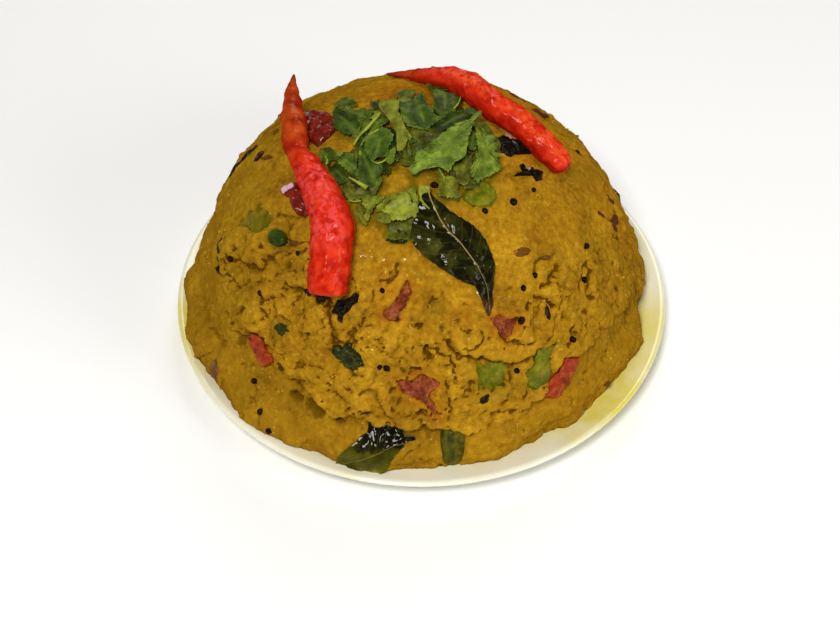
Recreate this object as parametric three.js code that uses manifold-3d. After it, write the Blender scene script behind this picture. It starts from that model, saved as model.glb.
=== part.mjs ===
// Millet upma: a bowl-moulded dome of spiced millet mash on a small round plate, garnished with two
// fresh red chillies, chopped coriander and curry leaves, with vegetable pieces bedded in its surface.
// Millimetres, +Z up. The origin is the centre of the plate's foot, on the surface it stands on;
// -Y is the side that faces the eater.
import * as THREE from "three";
import { mergeVertices } from "three/addons/utils/BufferGeometryUtils.js";
import Module from "manifold-3d";

const wasm = await Module();
wasm.setup();

// ---- Driving dimensions -------------------------------------------------------------------------
const GAP = 0.34; // air left between pieces that touch

const PLATE = {
  rim: 56.8, // outer radius
  height: 6.7, // top of the lip
  well: 4.0, // floor that the food stands on
  wellRadius: 41.0,
  footInner: 30.5,
  footOuter: 34.0,
  recess: 1.2, // depth of the hollow inside the foot ring
};

const DOME = {
  x: -1.0, // the moulded dome sits a little off the plate's centre
  y: 2.3,
  radius: 52.0, // inside radius of the moulding bowl
  drop: 1.0, // the sphere's centre lies this far below the plate's floor
  lipZ: 9.2, // height above the floor where the moulded skin ends in a ragged lip
  lipStep: 1.5, // how far the base under the lip is set back
  skirt: 54.6, // mean radius of the slumped skirt on the plate
  lump: 0.42, // amplitude of the hand-pressed unevenness
};
const PLATE_SIDES = 44;
const CENTRE = new THREE.Vector3(DOME.x, DOME.y, PLATE.well - DOME.drop);
const rad = THREE.MathUtils.degToRad;

// ---- Small helpers ------------------------------------------------------------------------------
function solid(geometry) {
  const g = geometry.clone();
  for (const name of Object.keys(g.attributes))
    if (name !== "position") g.deleteAttribute(name);
  const merged = mergeVertices(g, 1e-4);
  return new wasm.Manifold(
    new wasm.Mesh({
      numProp: 3,
      vertProperties: new Float32Array(merged.attributes.position.array),
      triVerts: new Uint32Array(merged.index.array),
    }),
  );
}

function geometryOf(manifold) {
  const m = manifold.getMesh();
  const n = m.numProp;
  const v = new Float32Array(m.numVert * 3);
  for (let i = 0; i < m.numVert; i++)
    v.set(m.vertProperties.subarray(i * n, i * n + 3), i * 3);
  const g = new THREE.BufferGeometry();
  g.setAttribute("position", new THREE.BufferAttribute(v, 3));
  g.setIndex(new THREE.BufferAttribute(new Uint32Array(m.triVerts), 1));
  g.computeVertexNormals();
  return g;
}

const largest = (manifold) =>
  manifold.decompose().sort((a, b) => b.volume() - a.volume())[0];

// Lathe about +Z from [radius, height] pairs.
function latheZ(profile, segments) {
  const g = new THREE.LatheGeometry(
    profile.map(([r, z]) => new THREE.Vector2(r, z)),
    segments,
  );
  g.rotateX(Math.PI / 2);
  return g;
}

function eachVertex(geometry, fn) {
  const p = geometry.getAttribute("position");
  const v = new THREE.Vector3();
  for (let i = 0; i < p.count; i++) {
    v.fromBufferAttribute(p, i);
    fn(v);
    p.setXYZ(i, v.x, v.y, v.z);
  }
  return geometry;
}

// Smooth, repeatable unevenness between about -1 and 1.
function unevenness(p, scale, seed = 0) {
  const x = p.x / scale,
    y = p.y / scale,
    z = p.z / scale;
  return (
    (Math.sin(1.7 * x + 0.6 * y + 1.3 + seed) +
      Math.sin(1.1 * y - 1.6 * z + 2.1 + 2 * seed) +
      Math.sin(1.3 * z + 1.2 * x - 0.7 * y + 4.4 + 3 * seed) +
      0.6 * Math.sin(2.9 * x - 2.3 * z + 0.4 + seed) +
      0.6 * Math.sin(2.7 * y + 2.1 * z + 5.2 - seed)) /
    4.2
  );
}

// A point on the dome's sphere, with the frame that lies on it there: right runs round the dome,
// down runs away from the top, out is the surface normal. Angles in degrees.
function onDome(az, pol, lift = 0) {
  const a = rad(az),
    p = rad(pol);
  const out = new THREE.Vector3(
    Math.sin(p) * Math.cos(a),
    Math.sin(p) * Math.sin(a),
    Math.cos(p),
  );
  const right = new THREE.Vector3(-Math.sin(a), Math.cos(a), 0);
  const down = new THREE.Vector3(
    Math.cos(p) * Math.cos(a),
    Math.cos(p) * Math.sin(a),
    -Math.sin(p),
  );
  const at = CENTRE.clone().addScaledVector(out, DOME.radius + lift);
  return { at, out, right, down };
}

// ---- Plate --------------------------------------------------------------------------------------
const plateTop = [
  [PLATE.rim - 0.9, PLATE.height],
  [PLATE.rim - 2.0, PLATE.height - 0.35],
  [PLATE.rim - 5.5, 5.25],
  [PLATE.rim - 10.0, 4.35],
  [PLATE.wellRadius, PLATE.well],
];

function plateGeometry() {
  const P = PLATE;
  return latheZ(
    [
      [0, P.recess],
      [P.footInner - 1.0, P.recess],
      [P.footInner, 0],
      [P.footOuter - 0.4, 0],
      [P.footOuter, 0.4],
      [P.footOuter + 1.2, 1.0],
      [P.rim - 10, 1.8],
      [P.rim - 4, 3.4],
      [P.rim - 0.5, 5.3],
      [P.rim, 5.9],
      [P.rim - 0.15, 6.45],
      ...plateTop,
      [0, P.well],
    ],
    PLATE_SIDES,
  );
}

// Everything below the plate's top face plus the gap: what the food is trimmed by.
function plateClearance() {
  const up = plateTop.map(([r, z]) => [r, z + GAP]);
  return solid(
    latheZ(
      [[0, -20], [80, -20], [80, up[0][1]], ...up, [0, PLATE.well + GAP]],
      PLATE_SIDES,
    ),
  );
}

// ---- Upma ---------------------------------------------------------------------------------------
// Radius of the slumped skirt round the dome's axis: fuller at the left, front and right corner,
// drawn in at the back.
function skirtRadius(a) {
  const bump = (at, wide, high) => {
    let d = Math.abs(a - rad(at)) % (2 * Math.PI);
    if (d > Math.PI) d = 2 * Math.PI - d;
    return high * Math.exp(-((d / rad(wide)) ** 2));
  };
  return (
    DOME.skirt +
    bump(-95, 26, 0.9) +
    bump(-140, 22, 1.0) +
    bump(-172, 16, 0.4) +
    bump(-20, 13, 0.3) +
    bump(-52, 16, -1.3) +
    bump(85, 72, -2.0) +
    0.35 * Math.sin(7 * a + 1) +
    0.25 * Math.sin(13 * a + 2.4)
  );
}

function upmaProfile() {
  const points = [[0, DOME.radius]]; // heights are above the sphere's centre here
  const rings = 11;
  const lip = DOME.lipZ + DOME.drop;
  const last = Math.acos(lip / DOME.radius);
  for (let i = 1; i <= rings; i++) {
    const p = (last * i) / rings;
    points.push([DOME.radius * Math.sin(p), DOME.radius * Math.cos(p)]);
  }
  const r = Math.sqrt(DOME.radius ** 2 - lip ** 2);
  points.push([r - 0.25, lip - 0.9]);
  points.push([r - DOME.lipStep, lip - 1.6]);
  points.push([r - DOME.lipStep + 0.9, lip - 3.4]);
  points.push([DOME.skirt - 2.4, lip - 5.2]);
  points.push([DOME.skirt - 0.7, lip - 6.5]);
  points.push([DOME.skirt, lip - 7.8]);
  points.push([DOME.skirt - 0.2, -4]);
  points.push([0, -4]);
  return points.reverse();
}

function upmaGeometry() {
  const g = latheZ(upmaProfile(), 46);
  const lip = DOME.lipZ + DOME.drop;
  return eachVertex(g, (v) => {
    const a = Math.atan2(v.y, v.x);
    const r = Math.hypot(v.x, v.y);
    if (r > 1) {
      // The skirt's outline, faded out towards the lip, and the lip's ragged line.
      const low = THREE.MathUtils.clamp((lip - v.z) / 6.5, 0, 1);
      const grow = (skirtRadius(a) - DOME.skirt) * low;
      v.x += Math.cos(a) * grow;
      v.y += Math.sin(a) * grow;
      const near = Math.exp(-(((v.z - lip + 0.8) / 2.4) ** 2));
      v.z += near * (1.1 * Math.sin(5 * a + 0.7) + 0.8 * Math.sin(11 * a + 2.0));
    }
    const d = v.clone().normalize();
    if (v.z > -3.5) {
      const n =
        DOME.lump * unevenness(v, 7.5) + 0.5 * DOME.lump * unevenness(v, 3.4, 2);
      v.addScaledVector(d, n);
    }
    v.add(CENTRE);
  });
}

// ---- Chillies -----------------------------------------------------------------------------------
// A pod lying on the dome: stations are [azimuth, polar angle, lift of the axis over the sphere,
// radius], tip first. It is closed at both ends by a low rounded cap.
function podGeometry(stations, rings, sides, grow = 0) {
  const curve = new THREE.CatmullRomCurve3(
    stations.map(([az, pol, lift]) => onDome(az, pol, lift).at),
    false,
    "centripetal",
  );
  const widths = new THREE.SplineCurve(stations.map((s, i) => new THREE.Vector2(i, s[3])));
  const position = [];
  const ring = (centre, tangent, r) => {
    const out = centre.clone().sub(CENTRE).normalize();
    const side = new THREE.Vector3().crossVectors(tangent, out).normalize();
    const up = new THREE.Vector3().crossVectors(side, tangent);
    for (let k = 0; k < sides; k++) {
      const t = (2 * Math.PI * k) / sides;
      const p = centre
        .clone()
        .addScaledVector(up, Math.cos(t) * r)
        .addScaledVector(side, Math.sin(t) * r);
      position.push(p.x, p.y, p.z);
    }
  };
  const put = (p) => position.push(p.x, p.y, p.z);
  const head = curve.getTangent(0);
  put(curve.getPoint(0).addScaledVector(head, -0.6 - grow));
  for (let i = 0; i <= rings; i++) {
    const u = i / rings;
    ring(curve.getPoint(u), curve.getTangent(u), widths.getPoint(u).y + grow);
  }
  const tail = curve.getTangent(1);
  const endR = widths.getPoint(1).y + grow;
  ring(curve.getPoint(1).addScaledVector(tail, 0.2 * endR + grow), tail, endR * 0.72);
  put(curve.getPoint(1).addScaledVector(tail, 0.3 * endR + grow));

  const index = [];
  const total = rings + 2;
  const at = (i, k) => 1 + i * sides + (k % sides);
  for (let k = 0; k < sides; k++) index.push(0, at(0, k + 1), at(0, k));
  for (let i = 0; i < total - 1; i++)
    for (let k = 0; k < sides; k++)
      index.push(
        at(i, k), at(i, k + 1), at(i + 1, k),
        at(i, k + 1), at(i + 1, k + 1), at(i + 1, k),
      );
  const last = 1 + total * sides;
  for (let k = 0; k < sides; k++) index.push(last, at(total - 1, k), at(total - 1, k + 1));
  const g = new THREE.BufferGeometry();
  g.setAttribute("position", new THREE.Float32BufferAttribute(position, 3));
  g.setIndex(index);
  return g;
}

const CHILLIES = {
  // Tip standing clear behind, then a pinched neck, then the thick body down the front.
  chilli_left: [
    [143.2, 34.9, 8.0, 0.25],
    [152.5, 32.1, 6.6, 1.5],
    [161.0, 30.3, 5.2, 2.3],
    [170.8, 28.8, 4.2, 2.8],
    [180.6, 28.3, 3.4, 2.95],
    [188.3, 28.1, 2.9, 2.35],
    [197.1, 27.2, 3.0, 2.9],
    [210.2, 27.2, 3.5, 3.3],
    [221.2, 28.3, 4.0, 3.9],
    [229.2, 30.4, 4.3, 4.3],
    [235.1, 32.8, 4.5, 4.6],
    [238.4, 36.8, 4.5, 4.55],
    [240.4, 40.1, 4.4, 4.35],
    [241.8, 43.5, 4.3, 4.3],
    [242.4, 45.1, 4.2, 4.1],
  ],
  // Slimmer, curving round the back of the top and down the right.
  chilli_right: [
    [105.4, 28.3, 0.8, 0.3],
    [96.4, 24.8, 1.0, 0.9],
    [87.2, 21.5, 1.5, 1.45],
    [76.0, 19.6, 2.3, 2.1],
    [64.2, 18.7, 2.95, 2.65],
    [49.4, 18.0, 3.35, 2.95],
    [34.0, 18.2, 3.1, 3.05],
    [21.5, 19.6, 3.1, 3.05],
    [9.2, 24.0, 3.1, 3.05],
    [-1.4, 29.5, 3.1, 3.0],
    [-6.4, 34.1, 2.95, 2.8],
  ],
};

const chilli = (name, grow = 0) => podGeometry(CHILLIES[name], 16, 8, grow);

// ---- Leaves -------------------------------------------------------------------------------------
// A leaf blade: a thin sheet along a midrib, hugging whatever it lies on. Each station is
// { at, out }, and the outline is the half-width as a share of `half` along the leaf.
function bladeGeometry(stations, half, thickness, bend, grow = 0) {
  const mid = new THREE.CatmullRomCurve3(stations.map((s) => s.at), false, "centripetal");
  const outs = new THREE.CatmullRomCurve3(stations.map((s) => s.out), false, "centripetal");
  const across = 4;
  const rows = 10;
  const top = [];
  const bottom = [];
  for (let i = 0; i <= rows; i++) {
    const u = i / rows;
    const c = mid.getPoint(u);
    const n = outs.getPoint(u).normalize();
    const t = mid.getTangent(u);
    if (i === 0) c.addScaledVector(t, -grow);
    if (i === rows) c.addScaledVector(t, grow);
    const side = new THREE.Vector3().crossVectors(n, t).normalize();
    const shape = Math.pow(Math.sin(Math.PI * Math.pow(u, 0.8)), 0.85);
    const w = Math.max(0.35, half * shape) + grow;
    for (let j = 0; j <= across; j++) {
      const v = (2 * j) / across - 1;
      const p = c
        .clone()
        .addScaledVector(side, w * v)
        .addScaledVector(n, -bend * (w * v) ** 2);
      top.push(p.clone().addScaledVector(n, thickness / 2 + grow));
      bottom.push(p.clone().addScaledVector(n, -thickness / 2 - grow));
    }
  }
  const position = [...top, ...bottom].flatMap((p) => [p.x, p.y, p.z]);
  const cols = across + 1;
  const off = top.length;
  const index = [];
  const id = (i, j) => i * cols + j;
  for (let i = 0; i < rows; i++)
    for (let j = 0; j < across; j++) {
      const a = id(i, j), b = id(i, j + 1), c = id(i + 1, j), d = id(i + 1, j + 1);
      index.push(a, c, b, b, c, d);
      index.push(off + a, off + b, off + c, off + b, off + d, off + c);
    }
  const edge = (a, b) => index.push(a, b, off + a, b, off + b, off + a);
  for (let j = 0; j < across; j++) {
    edge(id(0, j), id(0, j + 1));
    edge(id(rows, j + 1), id(rows, j));
  }
  for (let i = 0; i < rows; i++) {
    edge(id(i + 1, 0), id(i, 0));
    edge(id(i, across), id(i + 1, across));
  }
  const g = new THREE.BufferGeometry();
  g.setAttribute("position", new THREE.Float32BufferAttribute(position, 3));
  g.setIndex(index);
  return g;
}

const domeStation = ([az, pol, lift]) => {
  const s = onDome(az, pol, lift);
  return { at: s.at, out: s.out };
};
// A station over the skirt: azimuth, radius from the dome's axis, height over the plate's floor,
// and how steeply the surface there faces up, in degrees.
const skirtStation = ([az, r, z, face]) => {
  const a = rad(az), f = rad(face);
  return {
    at: new THREE.Vector3(DOME.x + r * Math.cos(a), DOME.y + r * Math.sin(a), PLATE.well + z),
    out: new THREE.Vector3(Math.cos(f) * Math.cos(a), Math.cos(f) * Math.sin(a), Math.sin(f)),
  };
};

const LEAVES = {
  curry_leaf_front: {
    stations: [[-89, 22, 1.9], [-83.5, 27.5, 1.8], [-77.7, 31, 1.7], [-72, 35.5, 1.6], [-68.3, 39.5, 1.4], [-66.5, 44, 1.1], [-67.1, 48.5, 0.8]].map(domeStation),
    half: 6.5,
    thickness: 0.6,
    bend: 1 / 90,
  },
  curry_leaf_base: {
    stations: [[-89.5, 52.4, 9.6, 30], [-95, 53.8, 7.6, 34], [-101, 55.0, 5.6, 36], [-108.5, 56.6, 3.9, 40]].map(skirtStation),
    half: 4.6,
    thickness: 0.6,
    bend: 1 / 60,
  },
  curry_leaf_back: {
    stations: [[116, 66, 1.2], [108, 68, 1.3], [100, 70.5, 1.2], [93, 74, 0.9]].map(domeStation),
    half: 5.4,
    thickness: 0.6,
    bend: 1 / 90,
  },
};

const blade = (name, grow = 0) => {
  const l = LEAVES[name];
  return bladeGeometry(l.stations, l.half, l.thickness, l.bend, grow);
};

// ---- Pieces bedded in the surface ---------------------------------------------------------------
// Each is [azimuth, polar angle, width round the dome, length down it, thickness, turn about the
// normal in degrees, how far its middle lies under the surface, squareness, material].
const BEDDED = {
  tomato_front: [-88.6, 66.4, 9.0, 8.2, 3.4, 4, 1.0, 2.4, "tomato"],
  tomato_middle: [-95.9, 45.6, 4.0, 9.2, 3.2, 32, 0.9, 2.4, "tomato"],
  tomato_right: [-63.7, 54.1, 5.6, 5.6, 3.0, 20, 0.9, 2.4, "tomato"],
  pepper_strip_right: [-50.4, 73.6, 3.4, 10.8, 2.8, 50, 0.6, 5, "red_pepper"],
  pepper_strip_left: [-135.0, 69.2, 3.4, 8.2, 2.8, -52, 0.9, 5, "red_pepper"],
  green_pepper_middle: [-70.9, 65.2, 7.0, 7.4, 3.6, 8, 1.2, 3.2, "green_pepper"],
  green_pepper_right: [-56.5, 67.9, 6.8, 9.0, 3.6, -4, 1.1, 3.0, "green_pepper"],
  green_bean_front: [-81.5, 82.5, 4.6, 9.0, 3.6, 0, 0.2, 4, "green_bean"],
  green_pepper_top: [-50.6, 23.6, 7.4, 5.4, 3.6, 8, 0.6, 2.4, "green_pepper"],
  green_pepper_edge: [-4, 84.5, 3.4, 5.4, 2.6, 5, 0.6, 2.8, "green_pepper"],
  green_pepper_left: [-160.5, 45.1, 7.6, 8.6, 3.4, -10, 1.3, 2.6, "green_pepper"],
  pea_left: [-147.2, 43.0, 5.2, 4.4, 3.8, 0, 0.8, 2.1, "green_bean"],
  dried_chilli_top: [165.1, 25.2, 5.6, 13.6, 3.0, 52, 0.3, 3, "dried_chilli"],
  dried_chilli_left: [-153.6, 33.6, 10.4, 3.8, 3.0, 3, 0.3, 3, "dried_chilli"],
  charred_leaf_right: [-4.0, 23.1, 7.0, 7.4, 2.2, 16, 0.3, 2.6, "charred"],
  charred_bit_right: [-17.4, 28.6, 5.0, 5.6, 2.0, -20, 0.4, 2.4, "charred"],
  charred_bit_front: [-112.3, 48.4, 3.8, 7.2, 2.4, 36, 0.4, 2.6, "charred"],
  curry_leaf_bit: [-109.1, 59.2, 5.8, 5.0, 2.4, -20, 0.6, 2.6, "curry_leaf"],
  leaf_bit_top: [-98.9, 29.3, 4.8, 4.4, 2.0, 0, 0.5, 2.4, "curry_leaf"],
  onion_left: [-147.5, 84.5, 3.6, 6.4, 2.8, 20, -1.0, 2.4, "onion"],
  tomato_back: [84, 58, 7.4, 5.6, 3.2, 18, 1.0, 2.5, "tomato"],
  tomato_back_left: [146, 72, 5.4, 6.6, 3.0, -25, 1.0, 2.5, "tomato"],
  green_pepper_back: [62, 66, 6.4, 6.0, 3.4, -30, 1.1, 3.0, "green_pepper"],
  green_bean_back: [128, 82, 4.2, 8.4, 3.4, 15, 0.6, 4, "green_bean"],
  pepper_strip_back: [50, 78, 3.0, 9.0, 2.8, -35, 0.7, 5, "red_pepper"],
};

function beddedGeometry(name, grow = 0) {
  const [az, pol, width, length, thick, turn, under, square] = BEDDED[name];
  const { at, out, right, down } = onDome(az, pol, -under);
  const t = rad(turn);
  const across = right.clone().multiplyScalar(Math.cos(t)).addScaledVector(down, Math.sin(t));
  const along = new THREE.Vector3().crossVectors(out, across);
  const g = new THREE.SphereGeometry(1, 8, 5);
  return eachVertex(g, (v) => {
    const k =
      1 /
      Math.pow(
        Math.abs(v.x) ** square + Math.abs(v.y) ** square + Math.abs(v.z) ** square,
        1 / square,
      );
    const rough = 1 + 0.07 * unevenness(v, 0.55, az);
    const x = v.x * k * rough * (width / 2 + grow);
    const y = v.y * k * rough * (thick / 2 + grow);
    const z = v.z * k * rough * (length / 2 + grow);
    v.copy(at)
      .addScaledVector(across, x)
      .addScaledVector(out, y)
      .addScaledVector(along, -z);
  });
}

// ---- Chopped coriander --------------------------------------------------------------------------
// One low heap of leaves over the top, as a shell with an uneven outline: half-widths towards each
// azimuth, in degrees of polar angle round the heap's own middle.
const HEAP = { az: -98, pol: 5.6, thick: 3.4, sunk: 0.3, rings: 5, sides: 26 };

function heapReach(a) {
  return (
    19.6 +
    1.3 * Math.cos(2 * a) +
    1.2 * Math.sin(3 * a + 2.2) +
    1.0 * Math.sin(7 * a + 0.9) +
    0.8 * Math.sin(11 * a + 3.1)
  );
}

function corianderGeometry(grow = 0) {
  const { out, right, down } = onDome(HEAP.az, HEAP.pol);
  const point = (t, reach, r) => {
    const p = rad(reach);
    const d = right
      .clone()
      .multiplyScalar(Math.cos(t))
      .addScaledVector(down, -Math.sin(t));
    return CENTRE.clone()
      .addScaledVector(out, Math.cos(p) * r)
      .addScaledVector(d, Math.sin(p) * r);
  };
  const low = DOME.radius - HEAP.sunk - grow;
  const position = [];
  const put = (p) => position.push(p.x, p.y, p.z);
  put(point(0, 0, DOME.radius + HEAP.thick + grow));
  for (let i = 1; i <= HEAP.rings; i++)
    for (let k = 0; k < HEAP.sides; k++) {
      const t = (2 * Math.PI * k) / HEAP.sides;
      const f = i / HEAP.rings;
      const reach = heapReach(t) * f + THREE.MathUtils.radToDeg(grow / DOME.radius) * f;
      const h = HEAP.thick * (1 - 0.72 * f ** 3) + 0.5 * Math.sin(5 * t + 6 * f) * f;
      put(point(t, reach, DOME.radius + Math.max(0.7, h) + grow));
    }
  const lowStart = position.length / 3;
  for (let k = 0; k < HEAP.sides; k++) {
    const t = (2 * Math.PI * k) / HEAP.sides;
    put(point(t, heapReach(t) + THREE.MathUtils.radToDeg(grow / DOME.radius), low));
  }
  for (let i = HEAP.rings - 2; i >= 2; i -= 2)
    for (let k = 0; k < HEAP.sides; k++) {
      const t = (2 * Math.PI * k) / HEAP.sides;
      put(point(t, (heapReach(t) * i) / HEAP.rings, low));
    }
  put(point(0, 0, low));
  const rows = HEAP.rings + 1 + [...Array(HEAP.rings).keys()].filter((i) => i >= 2 && i <= HEAP.rings - 2 && (HEAP.rings - 2 - i) % 2 === 0).length;
  const S = HEAP.sides;
  const at = (i, k) => 1 + i * S + (k % S);
  const last = position.length / 3 - 1;
  const index = [];
  for (let k = 0; k < S; k++) index.push(0, at(0, k), at(0, k + 1));
  for (let i = 0; i < rows - 1; i++)
    for (let k = 0; k < S; k++)
      index.push(
        at(i, k), at(i + 1, k), at(i, k + 1),
        at(i, k + 1), at(i + 1, k), at(i + 1, k + 1),
      );
  for (let k = 0; k < S; k++) index.push(last, at(rows - 1, k + 1), at(rows - 1, k));
  const g = new THREE.BufferGeometry();
  g.setAttribute("position", new THREE.Float32BufferAttribute(position, 3));
  g.setIndex(index);
  return g;
}

// ---- Materials ----------------------------------------------------------------------------------
const MATERIALS = Object.fromEntries(
  Object.entries({
    ceramic: [0xe6e4d6, 0.12],
    upma: [0xa87818, 0.5],
    red_chilli: [0xd2311f, 0.25],
    curry_leaf: [0x2a3010, 0.25],
    coriander: [0x5f7a26, 0.5],
    tomato: [0x8e3a22, 0.4],
    red_pepper: [0xa3301a, 0.3],
    green_pepper: [0x6d7518, 0.35],
    green_bean: [0x4c5212, 0.4],
    dried_chilli: [0x7a1d10, 0.2],
    charred: [0x14100b, 0.35],
    onion: [0x74452c, 0.4],
  }).map(([name, [color, roughness]]) => [
    name,
    new THREE.MeshStandardMaterial({ name, color, roughness, metalness: 0 }),
  ]),
);

// ---- Assembly -----------------------------------------------------------------------------------
const upmaMillet = new THREE.Group();
upmaMillet.name = "millet_upma";

function add(name, geometry, material) {
  const mesh = new THREE.Mesh(geometry, MATERIALS[material]);
  mesh.name = name;
  upmaMillet.add(mesh);
}

add("plate", plateGeometry(), "ceramic");

// The mash keeps a pocket for every piece bedded in it and a groove under what lies on it.
let mash = solid(upmaGeometry()).subtract(plateClearance());
for (const name of Object.keys(BEDDED)) mash = mash.subtract(solid(beddedGeometry(name, GAP)));
for (const name of Object.keys(CHILLIES)) mash = mash.subtract(solid(chilli(name, GAP)));
for (const name of Object.keys(LEAVES)) mash = mash.subtract(solid(blade(name, GAP)));
mash = mash.subtract(solid(corianderGeometry(GAP)));
add("upma", geometryOf(largest(mash)), "upma");

for (const name of Object.keys(CHILLIES)) add(name, chilli(name), "red_chilli");
for (const name of Object.keys(LEAVES)) add(name, blade(name), "curry_leaf");

// The coriander heap gives way to everything that it lies against.
let heap = solid(corianderGeometry());
for (const name of Object.keys(CHILLIES)) heap = heap.subtract(solid(chilli(name, GAP)));
for (const name of Object.keys(LEAVES)) heap = heap.subtract(solid(blade(name, GAP)));
for (const name of Object.keys(BEDDED)) heap = heap.subtract(solid(beddedGeometry(name, GAP)));
add("coriander", geometryOf(largest(heap)), "coriander");

for (const [name, spec] of Object.entries(BEDDED)) {
  let piece = solid(beddedGeometry(name));
  for (const pod of Object.keys(CHILLIES)) piece = piece.subtract(solid(chilli(pod, GAP)));
  for (const leaf of Object.keys(LEAVES)) piece = piece.subtract(solid(blade(leaf, GAP)));
  piece = piece.subtract(plateClearance());
  add(name, geometryOf(largest(piece)), spec[8]);
}

export default upmaMillet;
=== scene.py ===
"""Looks of the millet upma: the moulded mash, its garnish and its plate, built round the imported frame.

Lengths are worked out in millimetres in the row frame and written to the meshes in metres.
"""

import math

import bpy
import numpy as np
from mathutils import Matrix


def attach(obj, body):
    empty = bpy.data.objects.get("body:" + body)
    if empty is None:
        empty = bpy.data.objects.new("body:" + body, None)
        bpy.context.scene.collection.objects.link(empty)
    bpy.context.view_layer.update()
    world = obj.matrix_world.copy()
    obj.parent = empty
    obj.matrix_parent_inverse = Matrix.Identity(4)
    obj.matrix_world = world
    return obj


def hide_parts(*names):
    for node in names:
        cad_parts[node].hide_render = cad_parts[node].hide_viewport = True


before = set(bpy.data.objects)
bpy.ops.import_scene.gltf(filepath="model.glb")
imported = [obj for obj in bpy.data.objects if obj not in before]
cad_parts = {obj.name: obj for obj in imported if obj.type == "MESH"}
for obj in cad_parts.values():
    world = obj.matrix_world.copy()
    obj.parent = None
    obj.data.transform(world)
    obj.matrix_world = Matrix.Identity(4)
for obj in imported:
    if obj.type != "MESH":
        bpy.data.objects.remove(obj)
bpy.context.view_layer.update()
scene = bpy.context.scene
MM = 0.001

# ---- Frame: where the dome and the plate are ------------------------------------------------------
WELL = 4.0
CEN = np.array([-1.0, 2.3, WELL - 1.0])  # centre of the dome's sphere
R = 52.0
PLATE_TOP = [(0.0, 4.0), (41.0, 4.0), (46.8, 4.35), (51.3, 5.25), (54.8, 6.35), (55.9, 6.7)]


def plate_z(rho):
    return np.interp(rho, [p[0] for p in PLATE_TOP], [p[1] for p in PLATE_TOP])


def unit(v):
    return v / np.maximum(np.linalg.norm(v, axis=-1, keepdims=True), 1e-9)


def ang(az, pol):
    """Unit vector from the sphere's centre for an azimuth and a polar angle in degrees."""
    a, p = np.radians(az), np.radians(pol)
    return np.stack([np.sin(p) * np.cos(a), np.sin(p) * np.sin(a), np.cos(p)], -1)


def at(az, pol, lift=0.0):
    return CEN + ang(az, pol) * (R + np.asarray(lift, float))[..., None]


def tangent(az, pol):
    """(right, down, out) at a place on the dome."""
    a, p = math.radians(az), math.radians(pol)
    out = np.array([math.sin(p) * math.cos(a), math.sin(p) * math.sin(a), math.cos(p)])
    right = np.array([-math.sin(a), math.cos(a), 0.0])
    down = np.array([math.cos(p) * math.cos(a), math.cos(p) * math.sin(a), -math.sin(p)])
    return right, down, out


# ---- Noise ----------------------------------------------------------------------------------------
def _h(i, j, k, seed):
    n = (i * 73856093) ^ (j * 19349663) ^ (k * 83492791) ^ (seed * 265443576)
    n = (n ^ (n >> 13)) & 0xFFFFFFFF
    n = (n * 1274126177) & 0xFFFFFFFF
    n = n ^ (n >> 15)
    n = (n * 668265263) & 0xFFFFFFFF
    return n ^ (n >> 16)


GRAD = np.array(
    [(1, 1, 0), (-1, 1, 0), (1, -1, 0), (-1, -1, 0), (1, 0, 1), (-1, 0, 1),
     (1, 0, -1), (-1, 0, -1), (0, 1, 1), (0, -1, 1), (0, 1, -1), (0, -1, -1)], float)


def perlin(p, seed=0):
    i = np.floor(p).astype(np.int64)
    f = p - i
    u = f * f * f * (f * (f * 6 - 15) + 10)
    total = np.zeros(len(p))
    for dx in (0, 1):
        for dy in (0, 1):
            for dz in (0, 1):
                g = GRAD[_h(i[:, 0] + dx, i[:, 1] + dy, i[:, 2] + dz, seed) % 12]
                w = (
                    (u[:, 0] if dx else 1 - u[:, 0])
                    * (u[:, 1] if dy else 1 - u[:, 1])
                    * (u[:, 2] if dz else 1 - u[:, 2])
                )
                total += w * ((f - np.array([dx, dy, dz])) * g).sum(1)
    return total


def fbm(p, octaves=4, seed=0, gain=0.5):
    total, a, norm = np.zeros(len(p)), 1.0, 0.0
    for o in range(octaves):
        total += a * perlin(p * 2.0**o + 17.3 * o, seed + 31 * o)
        norm += a
        a *= gain
    return total / norm * 1.5


def worley(p, seed=0, jitter=0.9):
    """(distance to the nearest point, to the second nearest, a random number of the nearest)."""
    i = np.floor(p).astype(np.int64)
    f1 = np.full(len(p), 1e9)
    f2 = np.full(len(p), 1e9)
    rid = np.zeros(len(p))
    for dx in (-1, 0, 1):
        for dy in (-1, 0, 1):
            for dz in (-1, 0, 1):
                c = i + np.array([dx, dy, dz])
                h = _h(c[:, 0], c[:, 1], c[:, 2], seed)
                r = np.stack([h & 1023, (h >> 10) & 1023, (h >> 20) & 1023], 1) / 1023.0
                q = c + 0.5 + jitter * (r - 0.5)
                d = np.linalg.norm(q - p, axis=1)
                near = d < f1
                f2 = np.where(near, f1, np.minimum(f2, d))
                rid = np.where(near, ((h >> 5) & 4095) / 4095.0, rid)
                f1 = np.where(near, d, f1)
    return f1, f2, rid


def smooth(x, a, b):
    t = np.clip((x - a) / (b - a), 0, 1)
    return t * t * (3 - 2 * t)


def nose(x, w):
    """A step of height 1 with a rounded nosing w wide, upright at x = 0."""
    t = 1 - np.clip(x / w, 0, 1)
    return np.where(x > 0, np.sqrt(np.clip(1 - t * t, 0, 1)), 0.0)


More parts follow.
